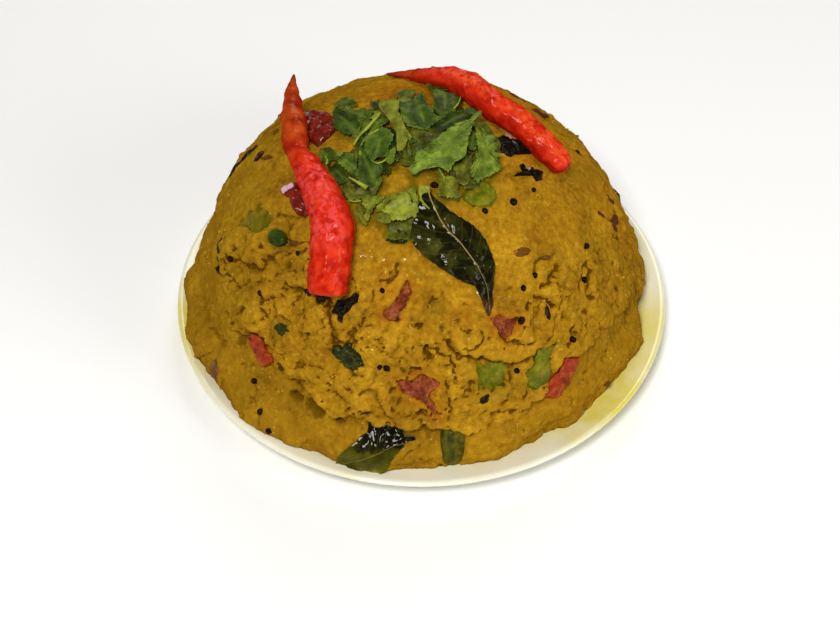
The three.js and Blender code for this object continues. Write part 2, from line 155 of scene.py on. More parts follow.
# ---- The mash -------------------------------------------------------------------------------------
# Where the pressed crust ends and the smooth layer under it shows: azimuth, polar angle.
CRUST_END = [
    (-180, 60), (-169, 59), (-163, 62), (-156, 63), (-153, 67), (-145, 70), (-138, 66.5), (-131, 67),
    (-126, 69), (-120, 70.5), (-112, 77), (-103, 75), (-98, 77), (-89, 77), (-82, 78.5), (-74, 79),
    (-68, 80), (-62, 78.5), (-58, 77), (-54, 71.5), (-50, 69), (-44, 71), (-39, 73), (-35, 70),
    (-30, 71), (-24, 72), (-15, 79), (-5, 86), (12, 84), (32, 77), (60, 74), (90, 79), (120, 73),
    (150, 77), (168, 68), (180, 60),
]
# Radius of the slumped foot round the dome's axis.
FOOT = [
    (-180, 54.6), (-169, 54.6), (-161, 55.6), (-152, 54.6), (-143, 54.6), (-135, 55.1), (-127, 55.5),
    (-120, 55.2), (-113, 54.3), (-106, 55.5), (-100, 56.0), (-93, 54.8), (-83, 53.5), (-75, 54.8),
    (-67, 53.4), (-57, 52.4), (-52, 53.7), (-45, 53.1), (-33, 52.7), (-20, 54.5), (-15, 53.4),
    (-11, 51.6), (-1, 52.0), (20, 52.9), (45, 52.6), (70, 53.2), (95, 52.4), (120, 53.2), (150, 52.2),
    (172, 51.9), (177.6, 51.9), (179.4, 54.2), (180, 54.6),
]
# Cracks and creases seen on the crust: azimuth, polar angle along each, half-width and depth.
CREASES = [
    ([(-173.0, 59.4), (-172.1, 60.4), (-170.1, 62.1), (-168.2, 63.9), (-166.4, 65.0), (-163.5, 65.0)], 0.60, 2.3),
    ([(-174, 67.9), (-168.9, 67.3)], 0.4, 0.9),
    ([(3, 53.4), (3.2, 58.3), (-1.5, 59.6), (-4.7, 63.1), (-4.0, 67)], 0.6, 1.7),
    ([(-9.1, 51.3), (-7.2, 54.6), (-5.1, 58.3)], 0.5, 1.2),
    ([(-11.5, 57.5), (-8.5, 61)], 0.45, 1.0),
    ([(16, 44), (14.6, 46.5), (18, 49)], 0.6, 1.0),
    ([(30, 40), (35, 43), (33, 47)], 0.7, 1.1),
    ([(-42.9, 44.1), (-46.2, 44.3), (-48, 45.8)], 0.5, 0.9),
    ([(-28.7, 53.1), (-31.9, 54.1), (-34.2, 55), (-36.6, 55.9)], 0.5, 1.0),
    ([(-60, 46.5), (-56.7, 46.8)], 0.4, 0.6),
    ([(-81.5, 55.3), (-80.3, 57.1), (-79.3, 58.2)], 0.45, 0.9),
    ([(-80.3, 62.7), (-79.9, 64.8)], 0.4, 0.7),
    ([(-117.5, 73), (-114.8, 74.9), (-112.4, 76.8)], 0.8, 1.5),
    ([(-142.8, 68), (-138.3, 66.2)], 0.4, 0.8),
    ([(-139.3, 57), (-137.3, 58.7), (-135.6, 60)], 0.4, 0.7),
    ([(-117.5, 53), (-115.9, 55), (-115.7, 57.4)], 0.45, 0.8),
    ([(-154.2, 39.4), (-148, 37), (-143.2, 34.9)], 0.45, 0.9),
    ([(-142.5, 42.6), (-138.5, 40.5), (-134.8, 38.5)], 0.6, 1.1),
    ([(-136.5, 42.2), (-134.8, 41.0)], 0.6, 1.0),
    ([(22, 41.8), (24.8, 48.4)], 0.5, 0.6),
    ([(-28.1, 34.9), (-21.9, 39.6), (-16, 43.3)], 0.5, 0.35),
    ([(140, 60), (132, 63), (127, 60)], 0.5, 1.0),
    ([(70, 40), (62, 43), (58, 41)], 0.45, 0.8),
    ([(100, 52), (103, 56), (99, 59)], 0.5, 0.9),
    ([(35, 60), (30, 63), (32, 67)], 0.5, 0.9),
]
# Small hollows where a lump has dropped out: azimuth, polar angle, half-width, half-height, turn, depth.
PITS = [
    (-116.0, 76.4, 2.6, 1.2, 30, 2.6), (-121.7, 76.1, 2.0, 1.4, 0, 2.5), (-121.4, 72.9, 1.4, 1.0, 20, 2.0),
    (-126.3, 69.0, 1.7, 1.1, 40, 2.2), (-109.4, 77.9, 1.7, 0.9, 0, 1.6), (-102.9, 73.6, 1.5, 0.9, -20, 1.2),
    (-158.2, 65.3, 1.2, 1.6, 0, 1.2), (-66.0, 76.5, 1.5, 0.8, -15, 0.9), (-38.0, 62.0, 1.2, 0.8, 30, 0.9),
    (-143.0, 62.0, 1.1, 0.8, 0, 0.9), (-112.0, 66.0, 1.2, 0.7, 10, 0.8), (-23.0, 66.0, 1.3, 0.8, 60, 0.9),
]
# Lips of crust that are seen, the side to the left of each line standing over the other: its line,
# how high it stands, and how far behind the edge that fades.
LIPS = [
    ([(-164.0, 62.9), (-159.2, 57.2), (-153.5, 53.9), (-149.8, 53.0), (-144.9, 50.6), (-145.7, 48.1), (-142.4, 44.9)], 0.9, 6.0),
    ([(-135.0, 50.3), (-132.4, 49.7), (-129.3, 49.4), (-125.8, 48.6)], 0.7, 5.0),
    ([(-135.5, 61.0), (-137.0, 59.1), (-139.0, 57.4), (-139.6, 55.4)], 0.6, 5.0),
    ([(-146.5, 69.4), (-144.1, 70.2), (-141.6, 68.6), (-139.9, 66.3), (-137.1, 65.1), (-134.5, 65.6), (-132.6, 66.8)], 1.0, 4.0),
    ([(-131.2, 68.6), (-128.7, 69.0), (-126.5, 70.1), (-123.9, 71.9), (-121.0, 71.1)], 1.1, 6.0),
    ([(-112.8, 59.6), (-114.0, 56.9), (-115.4, 53.6), (-117.7, 50.8), (-121.9, 48.8)], 0.9, 7.0),
    ([(-83.1, 53.5), (-81.2, 54.9), (-78.5, 58.0), (-73.7, 59.6), (-70.8, 60.9), (-68.1, 61.9), (-65.0, 63.6), (-61.4, 63.3), (-59.1, 63.6), (-56.9, 62.7), (-52.0, 62.2)], 0.9, 6.0),
    ([(-89.9, 54.4), (-84.9, 56.2), (-81.0, 58.5), (-79.6, 60.8), (-80.6, 63.0)], 0.6, 5.0),
    ([(-96.5, 36.0), (-97.7, 37.9), (-99.5, 40.3), (-103.4, 41.8)], 0.6, 5.0),
    ([(-37.7, 47.8), (-41.0, 48.9), (-45.1, 49.7), (-50.6, 49.5)], 0.7, 6.0),
    ([(-27.9, 53.6), (-30.0, 56.2), (-34.2, 58.0), (-34.3, 61.8)], 0.8, 6.0),
    ([(-53.0, 50.1), (-49.1, 52.8), (-46.5, 55.6)], 0.8, 6.0),
    ([(-64.1, 77.1), (-60.7, 76.2), (-56.9, 76.3), (-54.7, 75.7)], 0.9, 5.0),
    ([(-66.4, 54.6), (-64.1, 57.5), (-60.9, 59.3), (-56.7, 60.3)], 0.7, 5.0),
]
# Pieces bedded in the crust that show their outline: azimuth and polar angle of the middle, depth of
# the rim under the surface, crown, look, and the outline (mm to the right and down from the middle).
OUTLINES = {
    "tomato_front": (-88.6, 66.4, 0.35, 0.55, "tomato",
        [(-5.1, -2.3), (-3.6, -2.9), (-2.4, -2.2), (-1.3, -2.6), (-0.6, -3.9), (0.8, -3.7), (1.6, -2.5),
         (3.2, -2.4), (4.0, -1.6), (3.2, -0.7), (2.0, 0.0), (1.3, 1.2), (1.6, 2.2), (3.0, 3.9), (3.1, 6.7),
         (1.6, 4.5), (0.0, 2.6), (-1.5, 1.9), (-2.6, 1.1), (-4.0, 0.7), (-4.8, -0.8)]),
    "tomato_middle": (-95.9, 45.6, 0.35, 0.45, "tomato",
        [(-3.5, 2.0), (-2.0, 0.7), (-0.6, -0.8), (-0.1, -1.9), (0.8, -3.7), (1.6, -5.0), (2.6, -3.8),
         (2.3, -1.7), (2.0, 0.4), (1.1, 1.1), (0.5, 2.2), (-0.4, 3.9), (-1.7, 3.5), (-2.9, 2.9)]),
    "tomato_right": (-63.7, 54.1, 0.35, 0.45, "tomato",
        [(-2.8, -2.7), (-1.3, -2.9), (0.0, -2.1), (1.8, -1.3), (3.1, -1.0), (2.7, 0.4), (1.4, 1.4), (0.7, 2.7),
         (-0.5, 3.2), (-1.4, 2.3), (-1.8, 0.7), (-2.3, -1.0)]),
    "pepper_strip_right": (-50.4, 73.6, 0.1, 0.45, "red_pepper",
        [(0.6, -4.2), (2.1, -4.0), (3.3, -2.8), (5.3, -2.2), (4.5, -0.9), (2.5, 1.1), (0.8, 2.3), (-0.8, 3.2),
         (-1.6, 4.5), (-3.3, 4.2), (-5.7, 2.0), (-4.5, -0.1), (-2.9, -1.4), (-0.8, -2.0)]),
    "pepper_strip_left": (-135.0, 69.2, 0.7, 0.45, "red_pepper",
        [(-4.4, -0.8), (-3.3, -2.4), (-1.4, -2.7), (0.2, -2.4), (0.7, -1.3), (1.9, -0.7), (3.3, -0.7),
         (4.0, 0.6), (3.0, 2.3), (1.3, 3.6), (-0.3, 2.6), (-1.8, 1.3), (-3.2, 0.4)]),
    "green_pepper_middle": (-70.9, 65.2, 0.5, 0.55, "green_pepper",
        [(-2.3, -4.7), (-1.4, -3.7), (0.1, -3.6), (1.9, -2.8), (3.8, -2.4), (4.1, -0.2), (3.3, 1.1),
         (3.0, 2.6), (1.1, 3.4), (-0.4, 3.3), (-1.1, 2.3), (-2.6, 2.3), (-3.4, 3.3), (-2.8, 0.6),
         (-2.8, -2.2)]),
    "green_pepper_right": (-56.5, 67.9, 0.35, 0.55, "green_pepper",
        [(-3.9, 2.5), (-4.4, 0.3), (-3.7, -0.6), (-1.9, -1.0), (-0.9, -1.8), (-0.8, -3.0), (0.1, -4.1),
         (2.0, -4.5), (4.6, -3.8), (3.9, -2.7), (2.7, -1.6), (2.6, 0.4), (2.4, 2.0), (1.6, 3.8), (0.4, 5.0),
         (-1.3, 5.0), (-2.9, 4.2)]),
    "green_pepper_top": (-50.6, 23.6, -0.3, 0.85, "green_pepper",
        [(-3.4, -1.9), (-1.4, -2.1), (0.6, -2.3), (2.8, -2.2), (3.5, -0.7), (3.8, 0.8), (2.6, 2.8), (0.4, 3.3),
         (-1.7, 2.4), (-3.3, 0.9), (-3.8, -0.8)]),
    "green_pepper_left": (-160.5, 45.1, 0.15, 0.3, "green_pepper",
        [(-3.8, 5.7), (-3.4, 3.2), (-3.7, 1.3), (-2.7, -0.7), (-3.8, -2.2), (-2.2, -3.5), (-0.8, -2.7),
         (1.8, -3.7), (4.3, -4.1), (4.6, -2.6), (4.9, -1.1), (4.0, 1.2), (2.5, 2.2), (0.2, 2.9), (-1.9, 4.5)]),
    "charred_leaf_right": (-4.0, 23.1, -0.5, 0.5, "charred_leaf",
        [(0.9, -3.3), (2.1, -2.4), (3.2, -1.4), (3.8, 0.3), (2.7, 1.4), (1.5, 3.1), (1.3, 5.5), (0.0, 4.6),
         (-1.5, 2.2), (-2.2, 0.9), (-3.6, -0.2), (-3.0, -1.7), (-3.3, -2.6), (-1.1, -2.5), (-0.8, -3.3)]),
    "charred_bit_front": (-112.3, 48.4, -0.35, 0.5, "charred_leaf",
        [(-2.7, 0.8), (-2.0, -0.9), (-0.6, -1.6), (0.5, -2.3), (1.1, -3.5), (2.2, -3.5), (2.4, -1.8),
         (1.5, -0.8), (1.1, 0.5), (0.1, 1.8), (0.2, 3.5), (-0.5, 3.5), (-1.0, 2.2), (-2.4, 2.0)]),
    "curry_leaf_bit": (-109.1, 59.2, -0.25, 0.5, "leaf_bit",
        [(-3.3, -0.8), (-2.0, -1.7), (-1.3, -0.8), (-0.5, -2.4), (0.7, -2.4), (0.6, -1.5), (1.6, -1.4),
         (3.1, -0.2), (3.5, 1.2), (2.9, 2.3), (0.1, 3.2), (-0.4, 2.0), (-1.7, 1.5), (-2.9, 1.0)]),
    "pea_left": (-147.2, 43.0, 0.10, 1.1, "pea",
        [(-2.0, 1.5), (-2.4, 0.7), (-2.3, -0.3), (-1.4, -1.3), (-0.3, -1.8), (0.9, -1.9), (1.9, -1.5),
         (2.4, -0.6), (2.3, 0.4), (1.5, 1.3), (0.4, 1.8), (-0.9, 2.0)]),
    "charred_bit_right": (-17.4, 28.6, -0.35, 0.5, "charred_leaf",
        [(0.6, -2.4), (1.7, -1.4), (1.5, 0.2), (2.2, 1.5), (2.1, 3.1), (0.6, 3.4), (-0.9, 2.3), (-0.2, 1.1),
         (-1.5, -0.7), (-3.1, -2.7), (-1.8, -2.1), (-0.8, -1.0), (-0.1, -1.7)]),
    "leaf_bit_top": (-98.9, 29.3, -0.2, 0.45, "leaf_bit",
        [(-2.2, -1.5), (-0.6, -2.4), (2.4, -2.4), (3.0, -0.3), (1.8, 2.1), (-0.6, 2.4), (-2.2, 1.8),
         (-1.6, 0.2)]),
}
OUTLINES["dried_chilli_top"] = (165.1, 25.2, -0.55, 0.9, "dried_chilli",
    [(-7.2, 7.5), (-6.6, 4.9), (-5.1, 1.6), (-4.8, -0.4), (-3.1, -2.2), (-1.0, -3.3), (2.4, -5.1), (4.0, -4.2),
     (5.3, -3.0), (6.8, -2.0), (5.1, 0.0), (3.4, 1.9), (0.5, 4.4)])
OUTLINES["dried_chilli_left"] = (-153.6, 33.6, -0.45, 0.9, "dried_chilli",
    [(-4.8, 1.5), (-5.0, 0.4), (-4.2, -0.8), (-3.1, -2.2), (-1.2, -2.5), (0.9, -2.3), (3.0, -2.1), (5.7, -1.4),
     (6.2, -0.6), (4.9, 1.0), (3.6, 1.7), (1.8, 1.7), (-0.5, 1.4), (-1.2, 0.8), (-2.2, 1.5), (-3.8, 1.8)])
# The two curry leaves that show: azimuth and polar angle of the middle, the outline, the line of the rib.
SHEETS = {
    "curry_leaf_front": (-72.8, 35.6,
        [(-4.6, -14.4), (-2.9, -14.9), (-1.9, -12.7), (-0.3, -10.8), (0.4, -9.5), (1.9, -7.9), (3.4, -6.7),
         (4.5, -5.2), (5.2, -3.9), (5.8, -2.3), (6.2, -0.6), (6.4, 1.1), (6.5, 2.8), (6.1, 4.8), (5.5, 6.6),
         (5.0, 8.4), (4.7, 9.8), (4.8, 10.7), (4.5, 11.7), (3.9, 12.9), (3.4, 13.8), (3.0, 13.7), (3.1, 11.8),
         (3.1, 10.1), (3.2, 8.6), (2.5, 7.6), (1.4, 6.6), (-0.1, 5.8), (-1.8, 4.5), (-3.0, 3.3), (-4.6, 1.6),
         (-6.1, 0.0), (-7.4, -1.6), (-8.3, -3.1), (-9.0, -4.7), (-9.0, -6.3), (-8.6, -8.0), (-7.9, -9.1),
         (-7.1, -10.3), (-6.4, -11.7), (-5.6, -12.9)],
        [(-3.1, -15.9), (-3.0, -12.9), (-2.6, -10.4), (-2.2, -8.0), (-1.2, -5.4), (0.2, -3.2), (1.2, -1.1),
         (2.1, 1.0), (2.9, 2.9), (3.3, 4.6), (3.8, 6.8), (3.9, 8.7), (3.8, 10.9), (3.4, 13.2)]),
    "curry_leaf_base": (-99.2, 81.8,
        [(-8.4, 4.9), (-8.0, 5.6), (-7.1, 5.3), (-5.9, 4.6), (-4.7, 4.4), (-3.1, 4.6), (-1.6, 5.1), (-0.7, 5.6),
         (-0.1, 6.4), (0.6, 5.1), (1.1, 4.5), (1.8, 4.0), (2.4, 3.5), (3.0, 1.9), (3.8, 0.7), (4.8, -0.4),
         (5.8, -1.1), (5.5, -1.6), (6.4, -2.1), (8.1, -2.4), (7.9, -2.9), (6.6, -3.0), (5.5, -3.0), (5.2, -4.2),
         (5.1, -5.6), (4.3, -5.6), (2.8, -5.2), (1.6, -5.4), (0.8, -5.9), (0.1, -5.6), (-0.7, -5.2), (-1.8, -5.0),
         (-2.6, -4.6), (-2.4, -3.6), (-2.5, -2.8), (-3.6, -2.1), (-4.2, -1.3), (-5.3, -0.4), (-6.2, 0.7),
         (-7.1, 1.8), (-8.0, 3.4)],
        [(6.3, -1.8), (3.5, -1.2), (2.0, -0.5), (0.4, 0.3), (-1.2, 1.0), (-3.6, 2.3), (-6.0, 3.7), (-7.8, 5.0)]),
    "curry_leaf_back": (104.5, 70.2,
        [(10.4, -3.7), (8.8, -5.3), (6.6, -6.4), (4.0, -6.6), (1.2, -6.0), (-1.8, -4.6), (-4.8, -2.4), (-7.6, 0.4), (-9.6, 2.6),
         (-10.8, 4.2), (-8.8, 4.3), (-6.0, 4.7), (-3.0, 4.6), (0.2, 4.2), (3.4, 3.2), (6.4, 1.4), (8.6, -0.8), (10.0, -2.6)],
        [(11.2, -4.3), (7.0, -2.8), (3.0, -1.5), (-1.0, -0.2), (-5.0, 1.6), (-8.6, 3.3), (-10.6, 4.1)]),
}
# Vegetable pieces bedded in the crust: azimuth, polar angle, width round the dome, length down it,
# thickness, turn, depth of the middle under the surface, squareness, look.
BEDDED = {
    "tomato_front": (-90, 65, 8.6, 5.8, 3.4, 4, 1.0, 2.6, "tomato"),
    "tomato_middle": (-96, 45, 4.2, 8.4, 3.2, 30, 0.9, 2.4, "tomato"),
    "tomato_right": (-63.5, 54.5, 5.0, 5.2, 3.0, 20, 0.9, 2.4, "tomato"),
    "pepper_strip_right": (-50.5, 74.5, 3.0, 9.6, 2.8, 24, 0.6, 5, "red_pepper"),
    "pepper_strip_left": (-135.5, 69.5, 3.4, 7.4, 2.8, -28, 0.9, 5, "red_pepper"),
    "green_pepper_middle": (-70, 65, 6.6, 6.6, 3.6, 15, 1.2, 3.2, "green_pepper"),
    "green_pepper_right": (-57, 67.5, 5.6, 8.6, 3.6, -12, 1.1, 3.0, "green_pepper"),
    "green_bean_front": (-81.5, 82.5, 4.6, 9.0, 3.6, 0, 0.2, 4, "green_bean"),
    "green_pepper_top": (-46.5, 23.5, 8.6, 5.8, 3.6, 8, 0.6, 2.4, "green_pepper"),
    "green_pepper_edge": (-4, 84.5, 3.4, 5.4, 2.6, 5, 0.6, 2.8, "green_pepper"),
    "green_pepper_left": (-163, 47, 6.4, 8.6, 3.4, -10, 1.3, 2.6, "green_pepper"),
    "dried_chilli_top": (164, 24.5, 5.6, 7.0, 3.0, 35, 0.3, 3, "dried_chilli"),
    "dried_chilli_left": (-158, 33.5, 5.2, 7.2, 3.0, -24, 0.3, 3, "dried_chilli"),
    "charred_leaf_right": (-3.5, 24.8, 8.6, 4.6, 2.2, 16, 0.3, 2.6, "charred_leaf"),
    "charred_bit_front": (-112.5, 48.5, 6.6, 3.6, 2.4, 30, 0.4, 2.6, "charred_leaf"),
    "curry_leaf_bit": (-109, 59, 6.2, 4.2, 2.4, -20, 0.6, 2.6, "leaf_bit"),
    "onion_left": (-147.5, 84.5, 3.6, 6.4, 2.8, 20, -1.0, 2.4, "onion"),
    "tomato_back": (84, 58, 7.4, 5.6, 3.2, 18, 1.0, 2.5, "tomato"),
    "tomato_back_left": (146, 72, 5.4, 6.6, 3.0, -25, 1.0, 2.5, "tomato"),
    "green_pepper_back": (62, 66, 6.4, 6.0, 3.4, -30, 1.1, 3.0, "green_pepper"),
    "green_bean_back": (128, 82, 4.2, 8.4, 3.4, 15, 0.6, 4, "green_bean"),
    "pepper_strip_back": (50, 78, 3.0, 9.0, 2.8, -35, 0.7, 5, "red_pepper"),
}


# Radius of the layer under the crust.
BASE = [(-180, 51.6), (-172, 51.3), (-160, 50.9), (-110, 50.9), (-60, 51.1), (-20, 51.2), (20, 51.5), (60, 51.4),
        (150, 51.3), (172, 51.7), (180, 51.6)]
# How broken the surface is round the dome, and the polar angle from which it is.
BROKEN = [(-180, 0.35), (-168, 0.5), (-155, 0.95), (-120, 1.0), (-75, 0.95), (-55, 0.8), (-35, 0.65), (-12, 0.6),
          (10, 0.45), (40, 0.6), (90, 0.8), (140, 0.7), (165, 0.35), (180, 0.35)]
BROKEN_FROM = [(-180, 62), (-168, 52), (-155, 42), (-135, 38), (-115, 42), (-90, 46), (-70, 50), (-50, 50), (-30, 50),
               (-5, 56), (30, 50), (90, 44), (140, 50), (165, 58), (180, 62)]


def table(pairs, az):
    return np.interp((az + 180) % 360 - 180, [p[0] for p in pairs], [p[1] for p in pairs])


def polyline_distance(p, pts):
    best = np.full(len(p), 1e9)
    for a, b in zip(pts[:-1], pts[1:]):
        ab = b - a
        t = np.clip(((p - a) @ ab) / max(ab @ ab, 1e-9), 0, 1)
        best = np.minimum(best, np.linalg.norm(p - (a + t[:, None] * ab), axis=1))
    return best


def outline_distance(q, poly):
    """Distance of the plane points q from a closed outline, below 0 inside it."""
    best, inside = np.full(len(q), 1e9), np.zeros(len(q), bool)
    for a, b in zip(poly, np.roll(poly, -1, 0)):
        ab = b - a
        t = np.clip(((q - a) @ ab) / max(ab @ ab, 1e-9), 0, 1)
        best = np.minimum(best, np.linalg.norm(q - (a + t[:, None] * ab), axis=1))
        cross = (a[1] > q[:, 1]) != (b[1] > q[:, 1])
        if abs(ab[1]) > 1e-9:
            inside ^= cross & (q[:, 0] < a[0] + ab[0] * (q[:, 1] - a[1]) / ab[1])
    return np.where(inside, -best, best)


def piece_distance(d, name):
    """Which of the directions d are near the piece, and how far each is from its outline in mm."""
    az0, pol0 = (SHEETS if name in SHEETS else OUTLINES)[name][:2]
    outline = SHEETS[name][2] if name in SHEETS else OUTLINES[name][5]
    right, down, out = tangent(az0, pol0)
    poly = np.array(outline, float)
    reach = np.linalg.norm(poly, axis=1).max() + 3.5
    close = np.where(d @ out > math.cos(reach / R))[0]
    q = np.stack([d[close] @ right, d[close] @ down], 1) * R / (d[close] @ out)[:, None]
    return close, outline_distance(q, poly)


def polyline_side(p, pts):
    """Distance from the line, above 0 on its left as seen from outside, and the share of the way along it."""
    best, side, along = np.full(len(p), 1e9), np.ones(len(p)), np.zeros(len(p))
    for i, (a, b) in enumerate(zip(pts[:-1], pts[1:])):
        ab = b - a
        t = np.clip(((p - a) @ ab) / max(ab @ ab, 1e-9), 0, 1)
        off = p - (a + t[:, None] * ab)
        dist = np.linalg.norm(off, axis=1)
        near = dist < best
        best[near] = dist[near]
        side[near] = np.sign(off[near] @ np.cross(a, ab))
        along[near] = ((i + t) / (len(pts) - 1))[near]
    return best * side, along


EYE = np.array([-0.31, -285.6, 314.4])  # where the camera is, in mm
SIGHT = (EYE - CEN) / np.linalg.norm(EYE - CEN)


def polyline_side_flat(q, pts):
    """The same in a plane."""
    best, side, along = np.full(len(q), 1e9), np.ones(len(q)), np.zeros(len(q))
    for i, (a, b) in enumerate(zip(pts[:-1], pts[1:])):
        ab = b - a
        t = np.clip(((q - a) @ ab) / max(ab @ ab, 1e-9), 0, 1)
        off = q - (a + t[:, None] * ab)
        dist = np.linalg.norm(off, axis=1)
        near = dist < best
        best[near] = dist[near]
        side[near] = np.sign(ab[0] * off[near][:, 1] - ab[1] * off[near][:, 0])
        along[near] = ((i + t) / (len(pts) - 1))[near]
    return best * side, along


def mash(d, bare=False):
    """Radius of the mash's surface in each direction d from the sphere's centre, in mm, with the
    share of crust there and how granular it is; or of the smooth layer under it, if bare."""
    az = np.degrees(np.arctan2(d[:, 1], d[:, 0]))
    pol = np.degrees(np.arccos(np.clip(d[:, 2], -1, 1)))
    p = d * R
    big = fbm(p / 17.0, 3, 5)
    mid = fbm(p / 6.5, 3, 9)
    f1, _, _ = worley(p / 2.3 + 0.25 * mid[:, None], 21)
    scallop = 0.45 - f1

    # Smooth where the bowl pressed it at the top, broken lower down.
    rough = smooth(pol + 9 * mid, table(BROKEN_FROM, az) - 9, table(BROKEN_FROM, az) + 9) * table(BROKEN, az)
    rough = np.clip(rough * (1 + 0.35 * big) + 0.06, 0, 1)

    # The layer underneath, flaring to the foot.
    base_r = table(BASE, az)
    foot = table(FOOT, az) + 0.35 * mid + 0.5 * scallop * smooth(np.abs(az + 42), 60, 20)
    s_pol = np.radians(np.clip(pol, 1, 100))
    rr = base_r.copy()
    lowish = pol > 55
    for _ in range(14):
        z = rr * np.cos(s_pol) - 1.0
        rho_s = np.sqrt(np.clip(base_r**2 - (z + 1.0) ** 2, 0, None))
        s = np.clip((10.0 - z) / 8.0, 0, 1)
        grow = 1 - (1 - s) ** 2.0
        rho = rho_s + (np.maximum(foot, rho_s) - rho_s) * grow
        new = rho / np.maximum(np.sin(s_pol), 0.3)
        rr = np.where(lowish, 0.45 * rr + 0.55 * new, base_r)
    if bare:
        return rr
    base = rr + 0.28 * mid + 0.30 * big + 0.10 * (0.3 - f1)

    # The crust, with its ragged lower edge.
    x = (table(CRUST_END, az) - pol) * 0.9076 + 1.3 * mid + 1.9 * scallop
    e = nose(x, 1.2)
    crust = np.maximum(base, 51.9 + 0.45 * big + 0.22 * mid) * 1.0
    crust = np.where(x > 0, np.maximum(51.9 + 0.45 * big + 0.22 * mid, base - 0.6 + 0.7 * e), base)
    r = np.where(x > 0, base + (crust - base) * np.clip(e, 0, 1), base)
    r = r + 0.45 * e
    # A little flatter round the sides and the back, as its outline is.
    rim = np.degrees(np.arccos(np.clip(d @ SIGHT, -1, 1)))
    r = r - 0.75 * np.exp(-(((rim - 84) / 15.0) ** 2)) * smooth(pol, 78, 66)

    # Uneven, granular mash: soft lumps, and grains showing in patches.
    gran = 0.16 + 0.84 * rough
    low = 0.45 + 0.55 * e
    q = p + 0.8 * np.stack([fbm(p / 2.4, 2, 31), fbm(p / 2.4, 2, 32), fbm(p / 2.4, 2, 34)], 1)
    r = r + gran * low * (1.3 * fbm(p / 8.0, 2, 33) + 0.36 * fbm(p / 2.4, 2, 35))
    for seed, size, amp in ((83, 4.6, 1.0), (85, 2.3, 0.32)):
        n = np.abs(perlin(q / size + seed, seed))
        patch = smooth(fbm(p / (2.4 * size) + seed, 2, seed + 1), -0.05, 0.25)
        r = r + amp * (np.minimum(n, 0.34) - 0.19) * patch * gran * low
    g1, _, _ = worley(p / 1.3 + 0.15 * mid[:, None], 71)
    patch = 0.35 + 0.65 * smooth(fbm(p / 7.0, 2, 73), -0.15, 0.35)
    r = r + 0.26 * (np.clip(1 - (g1 / 0.66) ** 2, 0, 1) - 0.4) * patch * gran

    # Flakes of crust standing over each other, with rounded teeth along their edges and short
    # crevices at the foot of them.
    f2, _, _ = worley(p / 1.25 + 0.2 * mid[:, None], 23)
    teeth = 0.42 - f2
    gaps = smooth(fbm(p / 3.0, 2, 45), 0.08, 0.30)
    gaps = gaps * (1 - 0.65 * np.exp(-(((az + 36) / 17.0) ** 2)) * smooth(pol, 66, 58))
    some = fbm(p / 11.0, 2, 46)
    for seed, size, level, step, first in ((41, 17.0, -0.03, 0.90, -0.25), (43, 11.0, 0.05, 0.80, 0.0), (47, 6.5, 0.14, 0.45, 0.12)):
        x = (fbm(p / size + 3.1, 2, seed) - level) * size * 0.9 + 1.7 * scallop + 1.1 * teeth
        k = nose(x, 0.7) - 0.5
        crevice = np.exp(-(((x + 0.40) / 0.55) ** 2)) * gaps
        there = smooth(some * (1 if seed != 43 else -1), first, first + 0.2) * rough * low
        r = r + (step * k - 0.8 * crevice) * there
    # Ledges: each layer rises towards a ragged lower lip that stands over the one below.
    for seed, gap, amp, lift_ in ((61, 13.0, 1.1, 5.5), (64, 9.5, 0.7, 4.0)):
        run = pol * 0.9076 + lift_ * 1.6 * fbm(p / 13.0 + seed, 2, seed) + 1.7 * scallop + 0.8 * teeth
        t = (run / gap) % 1.0
        lip = t**2.0 * nose((1 - t) * gap, 0.6) - 0.5 * np.exp(-((t * gap / 0.5) ** 2)) * gaps
        where = smooth(fbm(p / 8.0 + seed, 2, seed + 1), 0.10, 0.30)
        r = r + amp * (lip - 0.25) * where * rough * low
    # A few ragged holes.
    n = fbm(np.stack([q[:, 0], q[:, 1], q[:, 2] * 1.4], 1) / 4.2 + 81, 3, 81, 0.5) + 0.14 * fbm(p / 1.1, 2, 84) + 0.15 * teeth
    r = r - 1.5 * smooth(n, 0.50, 0.62) * np.clip(rough * 1.15, 0, 1) * low
    for az0, pol0, wide, high, turn, depth in PITS:
        right, down, out = tangent(az0, pol0)
        close = np.where(np.linalg.norm(p - out * R, axis=1) < 7)[0]
        q_ = p[close] - out * R
        t = math.radians(turn)
        u, v = q_ @ (right * math.cos(t) + down * math.sin(t)), q_ @ (-right * math.sin(t) + down * math.cos(t))
        x = 1 - np.hypot(u / wide, v / high) + 0.30 * scallop[close] + 0.30 * teeth[close]
        r[close] -= depth * smooth(x, -0.05, 0.45)
    # The lips that are seen.
    for line, step, fade in LIPS:
        pts = np.array([ang(a, b) * R for a, b in line])
        reach = np.linalg.norm(pts - pts.mean(0), axis=1).max() + 1.6 * fade
        close = np.where(np.linalg.norm(p - pts.mean(0), axis=1) < reach)[0]
        if len(close):
            x, t = polyline_side(p[close], pts)
            x = x + 1.7 * scallop[close] + 0.8 * teeth[close]
            ends = smooth(t, 0.0, 0.12) * smooth(t, 1.0, 0.88)
            up_ = nose(x, 0.8) * np.exp(-((np.maximum(x, 0) / fade) ** 2))
            r[close] += ends * (step * up_ - 0.9 * np.exp(-(((x + 0.35) / 0.5) ** 2)) - 0.4 * step * (x <= 0) * np.exp(-((x / 3.0) ** 2)))
    # The creases that are seen.
    warped = p + 0.7 * np.stack([perlin(p / 2.2, 91), perlin(p / 2.2, 92), perlin(p / 2.2, 93)], 1)
    for line, half, depth in CREASES:
        pts = np.array([ang(a, b) * R for a, b in line])
        close = np.where(np.linalg.norm(p - pts.mean(0), axis=1) < 14)[0]
        if len(close):
            dist = polyline_distance(warped[close], pts)
            r[close] -= depth * np.exp(-((dist / half) ** 2))
